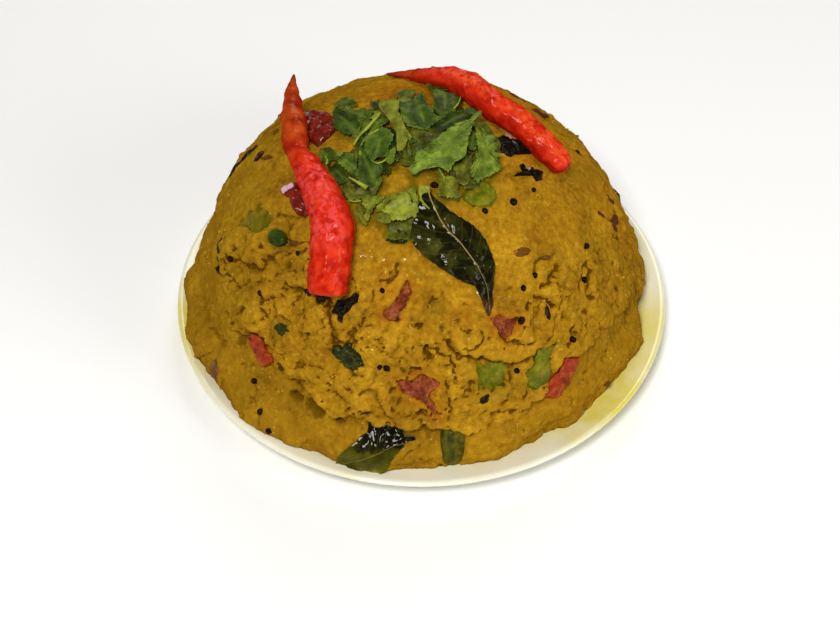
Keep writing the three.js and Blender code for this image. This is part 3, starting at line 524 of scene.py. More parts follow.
    # The leaf at the foot lies in a hollow of its own.
    close, dist = piece_distance(d, "curry_leaf_base")
    if len(close):
        share = smooth(dist + 0.25 * teeth[close], 0.25, -0.30)
        r[close] = r[close] * (1 - share) + np.minimum(r[close], rr[close] - 0.45) * share
    # The mash lies over the edges of what is bedded in it.
    for name, (az0, pol0, sink, _, look, _) in OUTLINES.items():
        close, dist = piece_distance(d, name)
        if len(close):
            n_ = fbm(p[close] / 1.9 + az0, 3, 97)
            over = {"charred_leaf": 0.0, "leaf_bit": 0.0, "pea": 0.0, "dried_chilli": 0.0, "tomato": 0.9, "red_pepper": 0.8}.get(look, 1.1)
            share = smooth(dist + over * (0.9 * n_ - 0.5 * scallop[close] + 0.10), 0.20, -0.25)
            r[close] = r[close] * (1 - share) + np.minimum(r[close], R - sink - 0.85) * share
    for name, (az0, pol0, w, l, thick, turn, under, _, look) in BEDDED.items():
        if name in OUTLINES:
            continue
        right, down, out = tangent(az0, pol0)
        c = out * R
        close = np.where(np.linalg.norm(p - c, axis=1) < 12)[0]
        q = p[close] - c
        t = math.radians(turn)
        u = q @ (right * math.cos(t) + down * math.sin(t)) / (w / 2)
        v = q @ (-right * math.sin(t) + down * math.cos(t)) / (l / 2)
        ragged = 1.0 if look in ("tomato", "leaf_bit", "onion") else 0.45
        n_ = fbm(p[close] / 2.6 + az0, 3, 97)
        m = (np.abs(u) ** 2.6 + np.abs(v) ** 2.6) ** (1 / 2.6) + ragged * (0.42 * n_ - 0.22 * scallop[close])
        if look not in ("charred_leaf", "dried_chilli"):
            floor_ = R - under + 0.5 * thick - 0.95
            share = smooth(m, 1.02, 0.88)
            r[close] = r[close] * (1 - share) + np.minimum(r[close], floor_) * share
    return r, np.clip(e, 0, 1), rough


def cube_dome(n):
    """Directions and quads of the upper half of a cube sphere, n cells to a side."""
    half = n // 2
    key, verts, quads = {}, [], []

    def put(v):
        k = (round(v[0] * 1e6), round(v[1] * 1e6), round(v[2] * 1e6))
        if k not in key:
            key[k] = len(verts)
            verts.append(v)
        return key[k]

    g = np.tan(np.linspace(-math.pi / 4, math.pi / 4, n + 1))
    faces = [lambda a, b: (a, b, 1.0)]
    faces += [lambda a, b: (1.0, a, b), lambda a, b: (-a, 1.0, b), lambda a, b: (-1.0, -a, b), lambda a, b: (a, -1.0, b)]
    for f, fn in enumerate(faces):
        rows = range(n + 1) if f == 0 else range(half, n + 1)
        idx = {}
        for j in rows:
            for i in range(n + 1):
                x, y, z = fn(g[i], g[j])
                m = math.sqrt(x * x + y * y + z * z)
                idx[i, j] = put((x / m, y / m, z / m))
        rows = list(rows)
        for j in rows[:-1]:
            for i in range(n):
                quads.append((idx[i, j], idx[i + 1, j], idx[i + 1, j + 1], idx[i, j + 1]))
    return np.array(verts), np.array(quads)


def contact_angles(samples=720):
    """Polar angle at which the mash meets the plate, for a ring of azimuths."""
    az = np.linspace(-180, 180, samples, endpoint=False)
    lo, hi = np.full(samples, 70.0), np.full(samples, 97.0)
    for _ in range(13):
        m = (lo + hi) / 2
        d = ang(az, m)
        r, _, _ = mash(d)
        q = CEN + d * r[:, None]
        above = q[:, 2] > plate_z(np.hypot(q[:, 0], q[:, 1])) + 0.06
        lo, hi = np.where(above, m, lo), np.where(above, hi, m)
    return az, (lo + hi) / 2


# ---- Mesh helpers ---------------------------------------------------------------------------------
def make_object(name, verts, faces, smooth_shade=True):
    mesh = bpy.data.meshes.new(name)
    mesh.from_pydata((np.asarray(verts) * MM).tolist(), [], [tuple(int(i) for i in f) for f in faces])
    mesh.update()
    mesh.polygons.foreach_set("use_smooth", [smooth_shade] * len(mesh.polygons))
    o = bpy.data.objects.new(name, mesh)
    scene.collection.objects.link(o)
    return o


def point_attribute(o, name, values):
    a = o.data.attributes.new(name, "FLOAT", "POINT")
    a.data.foreach_set("value", np.asarray(values, np.float32))


class Batch:
    """Many small closed meshes joined into one piece, with per-point attributes."""

    def __init__(self, *attributes):
        self.verts, self.faces, self.n = [], [], 0
        self.attributes = {a: [] for a in attributes}

    def add(self, verts, faces, **values):
        verts = np.asarray(verts, float)
        self.verts.append(verts)
        self.faces.extend([tuple(int(i) + self.n for i in f) for f in faces])
        self.n += len(verts)
        for a in self.attributes:
            v = values.get(a, 0.0)
            self.attributes[a].append(np.full(len(verts), v) if np.isscalar(v) else np.asarray(v, float))

    def build(self, name):
        o = make_object(name, np.concatenate(self.verts), self.faces)
        for a, v in self.attributes.items():
            point_attribute(o, a, np.concatenate(v))
        return o


def icosphere(level):
    t = (1 + 5**0.5) / 2
    v = [(-1, t, 0), (1, t, 0), (-1, -t, 0), (1, -t, 0), (0, -1, t), (0, 1, t), (0, -1, -t), (0, 1, -t),
         (t, 0, -1), (t, 0, 1), (-t, 0, -1), (-t, 0, 1)]
    v = [np.array(p) / math.sqrt(1 + t * t) for p in v]
    f = [(0, 11, 5), (0, 5, 1), (0, 1, 7), (0, 7, 10), (0, 10, 11), (1, 5, 9), (5, 11, 4), (11, 10, 2),
         (10, 7, 6), (7, 1, 8), (3, 9, 4), (3, 4, 2), (3, 2, 6), (3, 6, 8), (3, 8, 9), (4, 9, 5), (2, 4, 11),
         (6, 2, 10), (8, 6, 7), (9, 8, 1)]
    for _ in range(level):
        mid, g = {}, []

        def half(a, b):
            k = (min(a, b), max(a, b))
            if k not in mid:
                m = v[a] + v[b]
                v.append(m / np.linalg.norm(m))
                mid[k] = len(v) - 1
            return mid[k]

        for a, b, c in f:
            x, y, z = half(a, b), half(b, c), half(c, a)
            g += [(a, x, z), (b, y, x), (c, z, y), (x, y, z)]
        f = g
    return np.array(v), np.array(f)


ICO = {k: icosphere(k) for k in (1, 2, 3, 4)}


def turn_matrix(axis, angle):
    x, y, z = axis / np.linalg.norm(axis)
    c, s = math.cos(angle), math.sin(angle)
    return np.array(
        [[c + x * x * (1 - c), x * y * (1 - c) - z * s, x * z * (1 - c) + y * s],
         [y * x * (1 - c) + z * s, c + y * y * (1 - c), y * z * (1 - c) - x * s],
         [z * x * (1 - c) - y * s, z * y * (1 - c) + x * s, c + z * z * (1 - c)]]
    )


def catmull(points, per_span, closed=False):
    """A smooth line through points of any dimension, per_span steps to each span."""
    p = np.asarray(points, float)
    n = len(p)
    if closed:
        q = lambda i: p[i % n]
        spans = n
    else:
        q = lambda i: p[i] if 0 <= i < n else (2 * p[0] - p[1] if i < 0 else 2 * p[-1] - p[-2])
        spans = n - 1
    out = []
    for i in range(spans):
        p0, p1, p2, p3 = q(i - 1), q(i), q(i + 1), q(i + 2)
        for k in range(per_span):
            t = k / per_span
            out.append(
                0.5 * (2 * p1 + (p2 - p0) * t + (2 * p0 - 5 * p1 + 4 * p2 - p3) * t * t
                       + (3 * p1 - p0 - 3 * p2 + p3) * t**3)
            )
    if not closed:
        out.append(p[-1])
    return np.array(out)


def blur(values, edges, times):
    n = len(values)
    a, b = edges[:, 0], edges[:, 1]
    count = np.bincount(a, minlength=n) + np.bincount(b, minlength=n)
    for _ in range(times):
        s = np.bincount(a, values[b], n) + np.bincount(b, values[a], n)
        values = 0.5 * values + 0.5 * s / count
    return values


def surface(az, pol):
    """Radius of the mash's surface at azimuths and polar angles in degrees."""
    return mash(ang(np.atleast_1d(np.asarray(az, float)), np.atleast_1d(np.asarray(pol, float))))[0]


# ---- The mash as a mesh ---------------------------------------------------------------------------
# Stained places: azimuth, polar angle, reach in mm, strength, colour. The "shade" ones are painted shade in the pits,
# and the green one at the foot of the coriander is partly painted shade.
STAINS = [
    (-83.5, 47.0, 2.2, 0.9, "green"), (-98.0, 41.0, 3.2, 0.9, "rosy"), (-76.0, 49.0, 3.0, 0.7, "rosy"),
    (-165, 55, 16.0, 0.55, "green"), (-150, 60, 14.0, 0.40, "green"), (-20, 55, 11.0, 0.45, "green"),
    (-30, 70, 10.0, 0.35, "green"), (-130, 80, 16.0, 0.25, "green"), (-8, 27, 4.0, 0.8, "rosy"),
    (100, 14, 8.0, 0.8, "rosy"), (-90, 8, 15.0, 0.15, "green"), (-130, 70, 4.0, 0.4, "rosy"), (-148, 88, 6.0, 0.5, "rosy"),
    (120, 60, 14.0, 0.35, "green"), (60, 50, 12.0, 0.30, "green"), (-178, 50, 15.0, 0.60, "green"),
    (168, 44, 12.0, 0.50, "green"), (38, 41, 7.0, 0.9, "rosy"), (47, 38, 5.0, 0.7, "rosy"), (0, 57, 8.0, 0.7, "rosy"),
    (-6, 64, 6.0, 0.5, "rosy"), (12, 46, 6.0, 0.5, "rosy"), (-12, 68, 10.0, 0.70, "green"),
    (6, 50, 10.0, 0.60, "green"), (28, 43, 8.0, 0.50, "green"), (-98.5, 18.5, 4.0, 0.95, "green"),
    (-121.9, 75.6, 1.7, 1.0, "shade"), (-117.8, 76.2, 1.3, 1.0, "shade"), (-115.0, 77.4, 1.4, 1.0, "shade"),
    (-126.9, 69.6, 1.4, 1.0, "shade"), (-121.4, 72.9, 1.0, 0.8, "shade"), (-143.2, 72.0, 1.6, 0.9, "shade"),
    (-134.2, 70.2, 1.1, 0.8, "shade"),
]


def build_mash():
    v, quads = cube_dome(176)
    pol_e = np.degrees(np.arccos(np.clip(v[:, 2], -1, 1)))
    az = np.degrees(np.arctan2(v[:, 1], v[:, 0]))
    ring_az, ring_pol = contact_angles()
    limit = np.interp(az, np.concatenate([ring_az - 360, ring_az, ring_az + 360]), np.tile(ring_pol, 3))
    pol = pol_e / 90.0 * limit
    d = ang(az, pol)
    r, crust, rough = mash(d)
    verts = CEN + d * r[:, None]
    edges = np.concatenate([quads[:, [0, 1]], quads[:, [1, 2]], quads[:, [2, 3]], quads[:, [3, 0]]])
    fine = r - blur(r, edges, 5)
    wide = r - blur(r, edges, 70)
    a, b, c, e = (verts[quads[:, i]] for i in range(4))
    normal = np.cross(c - a, e - b)
    flip = (normal * (a + c - 2 * CEN)).sum(1) < 0
    quads[flip] = quads[flip][:, ::-1]
    faces = [tuple(q) for q in quads.tolist()]
    # The underside follows the plate.
    rim = [i for i in np.where(np.abs(v[:, 2]) < 1e-9)[0]]
    rim.sort(key=lambda i: az[i])
    n0, rings = len(verts), [rim]
    extra = []
    for rho in (50.5, 46.8, 41.0):
        ring = []
        for i in rim:
            x, y = math.cos(math.radians(az[i])), math.sin(math.radians(az[i]))
            q = np.array([CEN[0] + x * rho, CEN[1] + y * rho, 0.0])
            q[2] = plate_z(math.hypot(q[0], q[1])) - 0.10
            ring.append(n0 + len(extra))
            extra.append(q)
        rings.append(ring)
    centre = n0 + len(extra)
    extra.append(np.array([CEN[0], CEN[1], WELL - 0.10]))
    m = len(rim)
    for outer, inner in zip(rings[:-1], rings[1:]):
        for i in range(m):
            j = (i + 1) % m
            faces.append((outer[j], outer[i], inner[i], inner[j]))
    for i in range(m):
        faces.append((rings[-1][(i + 1) % m], rings[-1][i], centre))
    pad = len(extra)
    o = make_object("upma", np.concatenate([verts, np.array(extra)]), faces)
    # Where the red and the green pieces have stained it, where it is oilier and greener, and painted shade in the pits.
    rosy, green, shade = np.zeros(len(d)), np.zeros(len(d)), np.zeros(len(d))
    for name, spec in OUTLINES.items():
        close, dist = piece_distance(d, name)
        stain = {"tomato": rosy, "red_pepper": rosy, "green_pepper": green, "pea": green}.get(spec[4])
        if stain is not None and len(close):
            near = np.exp(-((np.clip(dist, 0, 9) / 1.5) ** 2))
            stain[close] = np.maximum(stain[close], near * (1.0 if stain is rosy else 0.8))
    for az0, pol0, reach, amount, which in STAINS:
        dist = np.arccos(np.clip(d @ ang(az0, pol0), -1, 1)) * R
        stain = {"rosy": rosy, "green": green, "shade": shade}[which]
        np.maximum(stain, amount * np.exp(-((dist / reach) ** 2)), out=stain)
    spot = 0.65 + 0.9 * fbm(d * R / 2.6, 3, 601)
    # Between the leaves of coriander it is dark and green: partly their juice, partly painted shade from the leaves,
    # kept to the side of the dome that faces the camera.
    herb_juice_and_shade = np.zeros(len(d))
    near = np.where(pol < 36)[0]
    flat = np.stack([np.cos(np.radians(az[near])), np.sin(np.radians(az[near]))], 1) * (np.radians(pol[near]) * R)[:, None]
    dist = np.full(len(near), 9.0)
    for spec in LEAFLETS.values():
        dist = np.minimum(dist, outline_distance(flat, np.array(spec[0], float)))
    herb_juice_and_shade[near] = smooth(dist + 0.9 * fbm(d[near] * R / 1.7, 2, 603), 1.9, 0.1) * smooth(d[near] @ SIGHT, 0.50, 0.80)
    for name, values in (("fine", fine), ("wide", wide), ("crust", crust), ("rough", rough), ("herb_juice_and_shade", herb_juice_and_shade),
                         ("rosy", np.clip(rosy * spot, 0, 1)), ("green", np.clip(green * spot, 0, 1)),
                         ("shade", smooth(shade + 0.5 * (spot - 0.65), 0.22, 0.50))):
        point_attribute(o, name, np.concatenate([values, np.zeros(pad)]))
    return o


def lumpy(level, rng, amount=0.18, freq=1.6):
    v, f = ICO[level]
    off = rng.uniform(0, 50, 3)
    return v * (1 + amount * fbm(v * freq + off, 2, 3))[:, None], f


def random_turn(rng):
    q = rng.normal(size=4)
    w, x, y, z = q / np.linalg.norm(q)
    return np.array(
        [[1 - 2 * (y * y + z * z), 2 * (x * y - z * w), 2 * (x * z + y * w)],
         [2 * (x * y + z * w), 1 - 2 * (x * x + z * z), 2 * (y * z - x * w)],
         [2 * (x * z - y * w), 2 * (y * z + x * w), 1 - 2 * (x * x + y * y)]]
    )


def build_grains():
    """Loose grains of the cooked millet, thickest where the crust is broken."""
    rng = np.random.default_rng(11)
    shapes = [lumpy(1, rng, 0.22, 1.3) for _ in range(14)]
    az = rng.uniform(-180, 180, 16000)
    pol = np.degrees(np.arccos(rng.uniform(math.cos(math.radians(86)), 1, 16000)))
    r, crust, rough = mash(ang(az, pol))
    clump = smooth(fbm(ang(az, pol) * R / 9.0, 2, 131), -0.05, 0.35)
    d_ = ang(az, pol)
    free = np.ones(16000, bool)
    for name in list(OUTLINES) + list(SHEETS):
        close, dist = piece_distance(d_, name)
        free[close[dist < 0.9]] = False
    keep = (rng.uniform(0, 1, 16000) < (0.01 + 0.40 * rough * clump)) & free
    batch = Batch("tint")
    for i in np.where(keep)[0][:520]:
        v, f = shapes[rng.integers(len(shapes))]
        size = rng.uniform(0.22, 0.42) * (1.3 if rng.random() < 0.1 else 1.0)
        scale = np.array([1, rng.uniform(0.6, 1), rng.uniform(0.5, 0.85)]) * size
        q = CEN + ang(az[i], pol[i]) * (r[i] + size * rng.uniform(-0.45, 0.05))
        batch.add((v * scale) @ random_turn(rng).T + q, f, tint=rng.uniform(-1, 1))
    return batch.build("upma_grains")


# ---- Seeds and dark bits --------------------------------------------------------------------------
SEEDS = [
    (-38.1, 29.7), (-53.7, 27.6), (-25.1, 31.5), (-59.3, 53.9), (-48.8, 46.4), (-54.9, 47.4), (-99.7, 60.7),
    (-97.9, 60.6), (-134.6, 78.3), (-129.1, 82.7), (-125.4, 85.3), (-140.3, 55.5), (-101.4, 42.8), (-63.4, 65.8),
    (-45.6, 65.3), (14.0, 45.2), (-25.2, 50.5), (-76.8, 17.8), (-157.4, 56.5), (-33.1, 55.7),
]
# Dark bits: start and end of each (azimuth, polar angle), width in mm and look.
SLIVERS = [
    (-169.9, 58.0, -169.3, 62.2, 1.6, "dark"), (-169.6, 61.8, -164.6, 62.8, 1.7, "dark"),
    (-165.2, 62.4, -160.4, 62.5, 1.7, "dark"), (-160.8, 62.3, -158.2, 61.4, 1.5, "dark"),
    (166.6, 57.0, 164.2, 51.6, 2.7, "dark"), (164.2, 52.6, 161.6, 47.4, 2.3, "dark"),
    (172.1, 44.2, 170.6, 41.0, 2.0, "dark"),
    (174.0, 41.0, 177.4, 37.2, 1.0, "brown"), (162.3, 40.4, 157.7, 40.2, 0.9, "brown"),
    (-143.1, 41.3, -134.7, 40.0, 1.2, "brown"), (-138.7, 42.4, -135.4, 43.3, 1.1, "dark"),
    (-126.6, 48.4, -124.5, 48.8, 1.1, "dark"), (-121.7, 48.4, -119.1, 48.5, 1.7, "dark"),
    (-130.9, 60.0, -126.9, 58.9, 2.0, "green"), (-74.5, 70.4, -71.9, 69.2, 1.3, "dark"),
    (-49.5, 54.2, -50.3, 57.3, 1.0, "dark"), (-34.5, 78.0, -32.6, 78.1, 0.9, "dark"),
    (-6.2, 57.6, -1.1, 59.7, 1.6, "rust"), (1.2, 53.4, 3.1, 58.4, 1.2, "rust"),
    (-8.7, 50.8, -9.4, 53.4, 1.1, "rust"), (-7.0, 57.1, -8.4, 59.3, 0.9, "rust"),
    (34.3, 37.6, 32.5, 42.5, 1.5, "rust"), (47.5, 37.3, 41.1, 38.4, 1.2, "rust"),
    (-52.2, 39.6, -46.3, 40.6, 1.5, "brown"), (-43.2, 44.2, -40.6, 44.9, 0.9, "brown"),
    (-37.9, 84.6, -36.4, 84.9, 1.2, "brown"), (-127.4, 69.6, -127.0, 71.6, 1.2, "dark"),
    (-82.8, 80.5, -82.4, 82.2, 0.8, "green"),
    (95, 50, 90, 53, 1.2, "dark"), (120, 55, 118, 58.5, 1.0, "dark"), (40, 62, 44, 64, 1.2, "rust"),
    (70, 74, 66, 76, 1.1, "dark"), (150, 62, 147, 60, 1.2, "brown"), (105, 72, 108, 69, 1.0, "dark"),
    (20, 70, 17, 73, 1.0, "dark"), (150, 74, 148, 77, 0.9, "dark"), (80, 55, 84, 52, 1.1, "brown"),
    (60, 56, 57, 54, 1.3, "dark"), (135, 78, 138, 76, 1.0, "rust"),
]


def build_seeds():
    rng = np.random.default_rng(5)
    places = list(SEEDS)
    while len(places) < 35:  # the side that the photograph doesn't show has as many for its size
        az, pol = rng.uniform(0, 180), math.degrees(math.acos(rng.uniform(0.08, 0.93)))
        sight = EYE - at(az, pol)
        hidden = ang(az, pol) @ sight / np.linalg.norm(sight) < -0.34
        if hidden and min(abs(az - a) + abs(pol - b) for a, b in places) > 2.5:
            places.append((az, pol))
    batch = Batch("tint")
    r = surface([p[0] for p in places], [p[1] for p in places])
    for (az, pol), rad in zip(places, r):
        v, f = lumpy(3, rng, 0.09, 2.2)
        size = rng.uniform(0.68, 0.92)
        scale = np.array([1, rng.uniform(0.80, 1.0), rng.uniform(0.75, 0.95)]) * size
        q = CEN + ang(az, pol) * (rad + rng.uniform(-0.35, 0.15))
        batch.add((v * scale) @ random_turn(rng).T + q, f, tint=rng.uniform(0, 1))
    return batch.build("mustard_seeds")


def build_slivers():
    rng = np.random.default_rng(7)
    kinds = {"dark": 0.0, "brown": 0.35, "rust": 0.65, "green": 1.0}
    batch = Batch("kind", "tint")
    for a0, p0, a1, p1, width, look in SLIVERS:
        mid_az, mid_pol = (a0 + a1) / 2, (p0 + p1) / 2
        rad = surface(mid_az, mid_pol)[0]
        a, b = CEN + ang(a0, p0) * rad, CEN + ang(a1, p1) * rad
        out = ang(mid_az, mid_pol)
        along = b - a
        length = max(np.linalg.norm(along), width)
        along = along / np.linalg.norm(along)
        side = np.cross(out, along)
        v, f = ICO[3]
        off = rng.uniform(0, 40, 3)
        v = v * (1 + 0.55 * fbm(v * 1.9 + off, 3, 3))[:, None]
        v[:, 1] *= 1.15 - 0.45 * v[:, 0] ** 2
        v = v * np.array([length / 2 + 0.2, width / 2, 0.36 + 0.10 * max(width - 1.2, 0)])
        v[:, 2] += 0.16 * np.sin(v[:, 0] * 1.7 + off[0])
        q = (a + b) / 2 + out * 0.05
        batch.add(q + v[:, :1] * along + v[:, 1:2] * side + v[:, 2:] * out, f, kind=kinds[look], tint=rng.uniform(0, 1))
    return batch.build("dark_bits")


# ---- Vegetable pieces -----------------------------------------------------------------------------
def build_bedded(name, seed):
    az, pol, width, length, thick, turn, under, square, look = BEDDED[name]
    right, down, out = tangent(az, pol)
    t = math.radians(turn)
    across = right * math.cos(t) + down * math.sin(t)
    along = -right * math.sin(t) + down * math.cos(t)
    v, f = ICO[4]
    off = np.array([seed * 7.3, seed * 3.1, seed * 5.7])
    radius = (np.abs(v) ** square).sum(1) ** (-1 / square)
    wide = 1.16 if look not in ("charred_leaf", "dried_chilli") else 1.0
    s = v * radius[:, None] * np.array([width / 2 * wide, length / 2 * wide, thick / 2])
    p = s + off
    if look in ("tomato",):
        # soft, torn, its skin in folds
        outline = 1 + 0.30 * fbm(np.stack([v[:, 0], v[:, 1], v[:, 2] * 0.2], 1) * 1.9 + off, 3, 7)
        s[:, :2] *= outline[:, None]
        s += v * (0.42 * fbm(p / 2.2, 3, 8) - 0.30 * np.exp(-((perlin(p / 2.6, 9) / 0.07) ** 2)))[:, None]
    elif look in ("red_pepper", "green_pepper"):
        outline = 1 + 0.12 * fbm(v * 1.2 + off, 2, 7)
        s[:, :2] *= outline[:, None]
        s += v * (0.20 * fbm(p / 2.6, 3, 8))[:, None]
        s[:, 2] -= 0.012 * (s[:, 0] ** 2 + s[:, 1] ** 2)
    elif look == "green_bean":
        s += v * (0.13 * fbm(p / 2.0, 3, 8))[:, None]
        s[:, 2] += 0.10 * np.cos(s[:, 0] * 2.6)
    elif look == "dried_chilli":
        outline = 1 + 0.22 * fbm(v * 1.6 + off, 3, 7)
        s[:, :2] *= outline[:, None]
        s += v * (0.30 * fbm(p / 2.4, 2, 8) - 0.45 * np.exp(-((perlin(p / 3.0, 9) / 0.10) ** 2)))[:, None]
    elif look in ("charred_leaf", "leaf_bit"):
        outline = 1 + 0.34 * fbm(np.stack([v[:, 0], v[:, 1], v[:, 2] * 0.1], 1) * 1.8 + off, 3, 7)
        s[:, :2] *= outline[:, None]
        s[:, 2] *= 0.62
        s[:, 2] += 0.75 * fbm(np.stack([s[:, 0], s[:, 1], 0 * s[:, 0]], 1) / 2.6 + off, 2, 8) + 0.35
    elif look == "onion":
        s += v * (0.20 * fbm(p / 2.4, 3, 8))[:, None]
        s[:, 2] += 0.12 * np.cos(s[:, 0] * 3.4)
    q = at(az, pol, -under)
    o = make_object(name, q + s[:, :1] * across + s[:, 1:2] * along + s[:, 2:] * out, f)
    point_attribute(o, "u", s[:, 0] / (width / 2))
    point_attribute(o, "v", s[:, 1] / (length / 2))
    point_attribute(o, "h", v[:, 2])
    return o


# Pale spots: painted glints on the dried chillies and on the charred leaf, a pale spot on the charred bit: azimuth,
# polar angle and reach in mm.
PALE_SPOTS_AND_GLINTS = {
    "charred_leaf_right": [(3.2, 22.7, 1.5)],
    "charred_bit_right": [(-15.5, 27.8, 1.0)],
    "dried_chilli_left": [(-163.2, 35.4, 1.9), (-160.2, 33.8, 1.9)],
    "dried_chilli_top": [(164.6, 27.8, 0.9)],
}


def build_outlined(name, seed):
    """A bedded piece from its outline: crowned, ragged as its kind is, with its sides going down into the mash."""
    az, pol, sink, puff, look, outline = OUTLINES[name]
    right, down, out = tangent(az, pol)
    ragged = {"tomato": 0.55, "charred_leaf": 0.60, "leaf_bit": 0.50, "green_pepper": 0.22, "red_pepper": 0.16, "dried_chilli": 0.15}.get(look, 0.05)
    o = np.array(outline, float)
    pts = []
    for a, b in zip(o, np.roll(o, -1, 0)):
        k = max(2, int(np.linalg.norm(b - a) / 0.2))
        pts += [a + (b - a) * t for t in np.arange(k) / k]
    pts = np.array(pts)
    for _ in range(3 if ragged < 0.3 else 1):
        pts = (np.roll(pts, 1, 0) + 2 * pts + np.roll(pts, -1, 0)) / 4
    c = pts.mean(0)
    off = seed * 7.3
    away = (pts - c) / np.maximum(np.linalg.norm(pts - c, axis=1, keepdims=True), 1e-6)
    flat = np.stack([pts[:, 0], pts[:, 1], 0 * pts[:, 0] + off], 1)
    pts = pts + away * (ragged * fbm(flat / 1.3, 3, 11))[:, None]
    n = len(pts)
    fr = np.linspace(0, 1, 15)[1:] ** 0.9
    X = np.concatenate([[c[0]]] + [c[0] + (pts[:, 0] - c[0]) * k for k in fr])
    Y = np.concatenate([[c[1]]] + [c[1] + (pts[:, 1] - c[1]) * k for k in fr])
    K = np.concatenate([[0.0]] + [np.full(n, k) for k in fr])
    q = np.stack([X, Y, 0 * X + off], 1)
    if look == "tomato":
        z = 0.55 * fbm(q / 1.9, 3, 8) - 0.35 * np.exp(-((perlin(q / 2.2, 9) / 0.08) ** 2))
    elif look in ("charred_leaf", "leaf_bit"):
        z = 1.0 * fbm(q / 1.8, 3, 8) + 0.25 * np.abs(perlin(q / 0.9, 9))
    elif look == "dried_chilli":
        z = 1.2 * fbm(q / 3.0, 2, 8) - 0.5 * np.exp(-((perlin(q / 2.6, 9) / 0.12) ** 2))
    else:
        z = 0.30 * fbm(q / 2.4, 3, 8)
    z = z * np.minimum(1, 4 * (1 - K) + 0.45) - sink + puff * np.sqrt(np.clip(1 - K**2.4, 0, 1))
    # Sides and underside.
    X = np.concatenate([X, pts[:, 0], c[0] + (pts[:, 0] - c[0]) * 0.93, [c[0]]])
    Y = np.concatenate([Y, pts[:, 1], c[1] + (pts[:, 1] - c[1]) * 0.93, [c[1]]])
    low = -sink - 0.45
    z = np.concatenate([z, np.minimum(z[-n:] - 0.25, low), np.full(n, low - 0.9), [low - 0.9]])
    K = np.concatenate([K, np.ones(2 * n), [1.0]])
    d = unit(out * R + X[:, None] * right + Y[:, None] * down)
    rings = len(fr) + 2
    faces = []
    for i in range(n):
        j = (i + 1) % n
        faces.append((0, 1 + i, 1 + j))
        for k in range(rings - 1):
            a, b = 1 + k * n, 1 + (k + 1) * n
            faces.append((a + i, b + i, b + j, a + j))
        faces.append((1 + (rings - 1) * n + i, len(X) - 1, 1 + (rings - 1) * n + j))
    verts = CEN + d * (R + z)[:, None]
    o = make_object(name, verts, outward(verts, faces))
    point_attribute(o, "u", (X - c[0]) / max(np.ptp(pts[:, 0]) / 2, 0.1))
    point_attribute(o, "v", (Y - c[1]) / max(np.ptp(pts[:, 1]) / 2, 0.1))
    point_attribute(o, "h", K)
    # where its pale spots are: mostly painted glints
    blister = np.zeros(len(d))
    for az0, pol0, reach in PALE_SPOTS_AND_GLINTS.get(name, ()):
        dist = np.arccos(np.clip(d @ ang(az0, pol0), -1, 1)) * R
        blister = np.maximum(blister, np.exp(-((dist / reach) ** 2)))
    point_attribute(o, "blister", blister)
    return o


# ---- Chillies -------------------------------------------------------------------------------------
# Azimuth, polar angle, height of the axis over the dome and radius, from the tip to the cut end.
CHILLIES = {
    "chilli_left": [
        (143.2, 34.9, 8.0, 0.25), (152.5, 32.1, 6.6, 1.5), (161, 30.3, 5.2, 2.3), (170.8, 28.8, 4.2, 2.8),
        (180.6, 28.3, 3.4, 2.95), (188.3, 28.1, 2.9, 2.35), (197.1, 27.2, 3.0, 2.9), (210.2, 27.2, 3.5, 3.3),
        (221.2, 28.3, 4.0, 3.9), (229.2, 30.4, 4.3, 4.3), (235.1, 32.8, 4.5, 4.6), (238.4, 36.8, 4.5, 4.55),
        (240.4, 40.1, 4.4, 4.38), (241.8, 43.5, 4.3, 4.3), (242.4, 45.1, 4.2, 4.1),
    ],
    "chilli_right": [
        (105.4, 28.3, 0.8, 0.3), (96.4, 24.8, 1.0, 1.0), (87.2, 21.5, 1.5, 1.75), (76, 19.6, 2.3, 2.25),
        (64.2, 18.7, 2.95, 2.85), (49.4, 18, 3.35, 3.15), (34, 18.2, 3.1, 3.15), (21.5, 19.6, 3.1, 3.2),
        (9.2, 24, 3.1, 3.15), (-1.4, 29.5, 3.1, 3.0), (-6.4, 34.1, 2.95, 2.9),
    ],
}


def sweep_frames(line):
    tangent_ = np.gradient(line, axis=0)
    tangent_ /= np.linalg.norm(tangent_, axis=1, keepdims=True)
    out = unit(line - CEN)
    side = np.cross(tangent_, out)
    side /= np.linalg.norm(side, axis=1, keepdims=True)
    up = np.cross(side, tangent_)
    return tangent_, side, up


